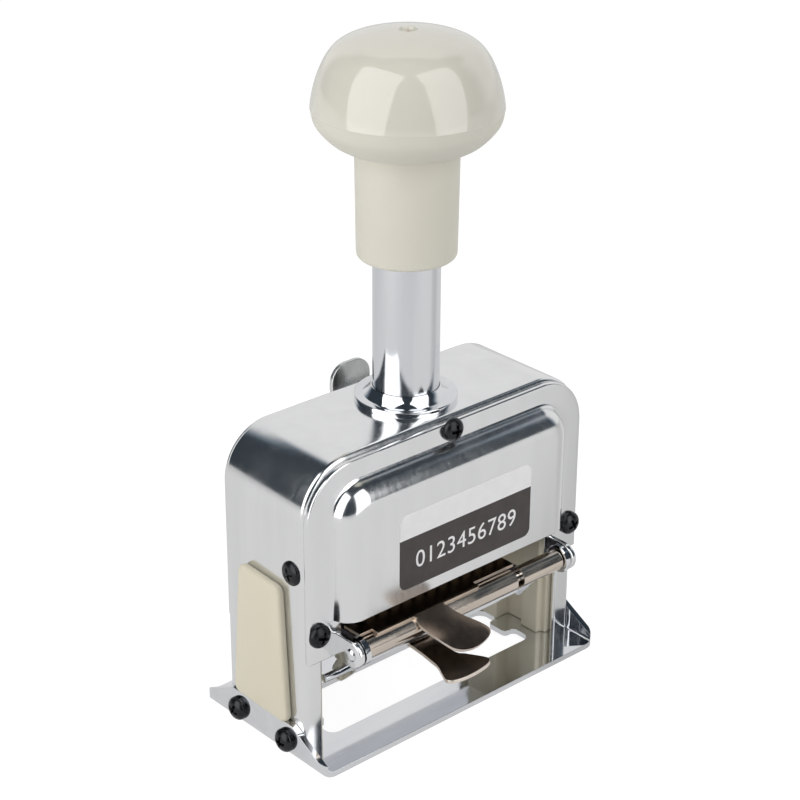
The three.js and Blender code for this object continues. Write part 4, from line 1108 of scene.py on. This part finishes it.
def makeSprings():
    tree = springTree()
    for side, word in ((-1, "left"), (1, "right")):
        node = f"return_spring_{word}"
        low, high = span(node)
        piece = newPiece(f"head_spring_{word}", [(0, 0, 0)], [])
        modifier = piece.modifiers.new("coil", "NODES")
        modifier.node_group = tree
        values = {
            "Radius": spring["radius"] * mm, "Wire": spring["wire"] * mm, "Turns": float(spring["turns"]),
            "Height": (high.z - low.z - 2 * spring["wire"]) * mm, "Finish": springSteel,
            "Foot": toRow(side * spring["across"], 0, low.z + spring["wire"]),
        }
        for name, value in values.items():
            modifier[socketId(tree, name)] = value
        settle(applied(piece), None, node)


makeSprings()

# Label: two plain fields with plain figures

label = {
    "left": -20.2, "right": 22.2, "low": 39.9, "high": 59.6, "corner": 2, "split": 53.2, "thick": 0.12,
    "sunk": 0.05, "edge": 0.03, "text": "0123456789", "figures": 6.3, "raised": 0.03, "spacing": 1.05,
}


def plainPaint(name, colour, shade):
    material, tree, shader, place = startMaterial(name)
    mottle = ranged(tree, noise(tree, place, 260, 4), 0.3, 0.7)
    setInputs(tree, shader, {
        "Base Color": blended(tree, mottle, (*colour, 1), (*shade, 1)),
        "Roughness": ranged(tree, noise(tree, place, 700, 3), 0.3, 0.7, 0.3, 0.42),
        "Normal": bumped(tree, noise(tree, place, 1500, 2), 0.002),
    })
    return material


def makeFields(panelY, white, dark):
    left, right, corner = label["left"], label["right"], label["corner"]
    fields = (
        ("label_light_field", label["split"], label["high"], white, (0, 0, corner, corner)),
        ("label_dark_field", label["low"], label["split"], dark, (corner, corner, 0, 0)),
    )
    for name, low, high, paint, rounds in fields:
        corners = [(left, low), (right, low), (right, high), (left, high)]
        outline = filleted([(x, z, radius) for (x, z), radius in zip(corners, rounds)])
        piece = plate(name, outline, "y", panelY - label["thick"], panelY + label["sunk"])
        settle(eased(piece, label["edge"], 1), paint, body=bodyOf["front_cover"])


def makeFigures(panelY, paint):
    words = bpy.data.curves.new("figures", "FONT")
    words.body = label["text"]
    words.size = label["figures"] * mm
    words.extrude = label["raised"] * mm
    words.align_x = "CENTER"
    words.align_y = "CENTER"
    words.space_character = label["spacing"]
    text = inScene("figuresText", words)
    graph = bpy.context.evaluated_depsgraph_get()
    data = bpy.data.meshes.new_from_object(text.evaluated_get(graph))
    bpy.data.objects.remove(text)
    data.transform(Matrix.Rotation(math.pi / 2, 4, "X"))
    across, up = (label["left"] + label["right"]) / 2, (label["low"] + label["split"]) / 2
    data.transform(Matrix.Translation(toRow(across, panelY - label["thick"], up)))
    figures = inScene("label_figures", data)
    settle(figures, paint, body=bodyOf["front_cover"])


def makeLabel():
    panelY = faceY - frontForm["depth"]
    white = plainPaint("labelWhite", (0.93, 0.92, 0.925), (0.9, 0.89, 0.895))
    dark = plainPaint("labelDark", (0.05, 0.04, 0.037), (0.038, 0.03, 0.028))
    makeFields(panelY, white, dark)
    makeFigures(panelY, white)


makeLabel()
print("label made")

# Floor, light and camera

studio = {
    # the floor: its diffuse tone for light and for what sees it, and its glow in the picture and in the metal
    "floorSize": 8, "floorPale": 0.8, "floorSeen": 0.25, "floorGlow": 0.9, "floorMirrored": 0.51,
    # where the mirrored floor is dimmer, as (bearing from, to, softness) in degrees, and by how much
    "floorDim": (-38, -12, 8), "floorDimmed": 0.14,
    # the bright sweep and its taller middle: (bearing from, to, softness), then (height it fades from, to)
    "sweep": ((-28, 92, 12), (38, 48)), "sweepMiddle": ((12, 82, 9), (62, 67)),
    "sweepLight": 0.74, "roomLight": 0.06, "roomTint": (0.55, 0.72, 0.9, 1), "fill": 0.39,
    # soft boxes from the plunger, in degrees and metres: (bearing, height, distance, wide, tall, radiance)
    "mirroredBoxes": {
        "leftBox": (179, 28, 0.62, 0.62, 0.9, 2.0),
        "rightBox": (-80, 28, 0.62, 0.5, 0.9, 1.8),
    },
    "lightingBoxes": {
        "leftLight": (172, 28, 0.6, 0.3, 0.5, 3.0),
        "rightLight": (-60, 28, 0.6, 0.4, 0.5, 1.9),
        "topLight": (60, 80, 0.6, 0.5, 0.5, 0.9),
        "frontLight": (-165, 8, 0.6, 0.4, 0.35, 1.4),
    },
    "boxAim": 110,
    "cameraLens": 96.4, "cameraPlace": (-308.3, -342.0, 295.0), "cameraRight": (0.7462, -0.6658, 0.0044),
    "cameraUp": (0.2832, 0.3233, 0.9029), "cameraBack": (-0.6025, -0.6725, 0.4298),
}


def between(tree, value, low, high, soft):  # one between low and high, nothing outside
    rise = ranged(tree, value, low - soft, low + soft)
    fall = ranged(tree, value, high - soft, high + soft, 1.0, 0.0)
    return maths(tree, "MULTIPLY", rise, fall)


def degrees(tree, operation, *values):
    return maths(tree, "MULTIPLY", maths(tree, operation, *values), 180 / math.pi)


def grey(tone):
    return (tone, tone, tone, 1)


def makeFloor():
    size = studio["floorSize"] / mm / 2
    corners = [(-size, -size, 0), (size, -size, 0), (size, size, 0), (-size, size, 0)]
    floor = newPiece("floor", corners, [(0, 1, 2, 3)])
    faceUp(floor)
    material = bpy.data.materials.new("paleFloor")
    material.use_nodes = True
    tree = material.node_tree
    tree.nodes.clear()
    path = add(tree, "ShaderNodeLightPath").outputs
    mirror = maths(tree, "MAXIMUM", path["Is Glossy Ray"], path["Is Transmission Ray"])
    seen = maths(tree, "MAXIMUM", path["Is Camera Ray"], mirror)
    lit = add(tree, "ShaderNodeBsdfDiffuse", {"Color": grey(studio["floorPale"])}).outputs[0]
    soft = add(tree, "ShaderNodeBsdfDiffuse", {"Color": grey(studio["floorSeen"])}).outputs[0]
    spot = add(tree, "ShaderNodeSeparateXYZ", {0: add(tree, "ShaderNodeTexCoord").outputs["Object"]}).outputs
    bearing = degrees(tree, "ARCTAN2", spot["Y"], spot["X"])
    dimmed = maths(tree, "MULTIPLY", between(tree, bearing, *studio["floorDim"]), studio["floorDimmed"])
    mirrored = maths(tree, "SUBTRACT", studio["floorMirrored"], dimmed)
    unseen = maths(tree, "SUBTRACT", 1.0, path["Is Camera Ray"])
    glow = maths(tree, "MULTIPLY", path["Is Camera Ray"], studio["floorGlow"])
    glow = maths(tree, "ADD", glow, maths(tree, "MULTIPLY", unseen, mirrored))
    white = add(tree, "ShaderNodeEmission", {"Color": grey(1), "Strength": glow}).outputs[0]
    both = add(tree, "ShaderNodeAddShader", {0: soft, 1: white}).outputs[0]
    shown = add(tree, "ShaderNodeMixShader", {0: seen, 1: lit, 2: both}).outputs[0]
    under = add(tree, "ShaderNodeNewGeometry").outputs["Backfacing"]
    clear = add(tree, "ShaderNodeBsdfTransparent").outputs[0]
    sided = add(tree, "ShaderNodeMixShader", {0: under, 1: shown, 2: clear}).outputs[0]
    add(tree, "ShaderNodeOutputMaterial", {"Surface": sided})
    floor.data.materials.append(material)


# The room that the metal mirrors: dark, with a bright sweep behind and to the right, taller in its middle.
def makeWorld():
    world = bpy.data.worlds.new("studio")
    bpy.context.scene.world = world
    world.use_nodes = True
    tree = world.node_tree
    tree.nodes.clear()
    way = add(tree, "ShaderNodeTexCoord").outputs["Generated"]
    way = add(tree, "ShaderNodeSeparateXYZ", {0: way}).outputs
    height = degrees(tree, "ARCSINE", way["Z"])
    bearing = degrees(tree, "ARCTAN2", way["Y"], way["X"])
    sweeps = []
    for bearings, fade in (studio["sweep"], studio["sweepMiddle"]):
        across = between(tree, bearing, *bearings)
        sweeps.append(maths(tree, "MULTIPLY", across, ranged(tree, height, *fade, 1.0, 0.0)))
    level = maths(tree, "MULTIPLY", maths(tree, "MAXIMUM", *sweeps), studio["sweepLight"])
    level = maths(tree, "ADD", level, studio["roomLight"])
    path = add(tree, "ShaderNodeLightPath").outputs
    tint = blended(tree, ranged(tree, level, 0.1, 0.7), studio["roomTint"], grey(1))
    room = add(tree, "ShaderNodeBackground", {"Color": tint, "Strength": level}).outputs[0]
    fill = add(tree, "ShaderNodeBackground", {"Color": grey(1), "Strength": studio["fill"]}).outputs[0]
    white = add(tree, "ShaderNodeBackground", {"Color": grey(1), "Strength": 1.0}).outputs[0]
    mirrored = add(tree, "ShaderNodeMixShader", {0: path["Is Glossy Ray"], 1: fill, 2: room}).outputs[0]
    shown = add(tree, "ShaderNodeMixShader", {0: path["Is Camera Ray"], 1: mirrored, 2: white}).outputs[0]
    add(tree, "ShaderNodeOutputWorld", {"Surface": shown})


# A soft box is either mirrored by the metal or lights the rest, so that the two can be set apart.
def softBox(name, mirrored, bearing, height, distance, wide, tall, radiance):
    lamp = bpy.data.lights.new(name, "AREA")
    lamp.shape = "RECTANGLE"
    lamp.size = wide
    lamp.size_y = tall
    lamp.energy = radiance * math.pi * wide * tall
    box = inScene(name, lamp)
    turn, rise = math.radians(bearing), math.radians(height)
    way = Vector((math.cos(turn) * math.cos(rise), math.sin(turn) * math.cos(rise), math.sin(rise)))
    box.location = toRow(0, 0, studio["boxAim"]) + way * distance
    box.rotation_euler = way.to_track_quat("Z", "Y").to_euler()
    box.visible_camera = False
    box.visible_diffuse = not mirrored
    box.visible_glossy = mirrored


def makeCamera():
    data = bpy.data.cameras.new("camera")
    data.lens = studio["cameraLens"]
    data.sensor_width = 36
    camera = inScene("camera", data)
    turn = Matrix([studio["cameraRight"], studio["cameraUp"], studio["cameraBack"]]).transposed()
    camera.rotation_mode = "QUATERNION"
    camera.rotation_quaternion = turn.to_quaternion()
    camera.location = toRow(*studio["cameraPlace"])
    bpy.context.scene.camera = camera


makeFloor()
makeWorld()
for name, box in studio["mirroredBoxes"].items():
    softBox(name, True, *box)
for name, box in studio["lightingBoxes"].items():
    softBox(name, False, *box)
makeCamera()
bpy.context.scene.view_settings.view_transform = "Standard"
print("studio made")
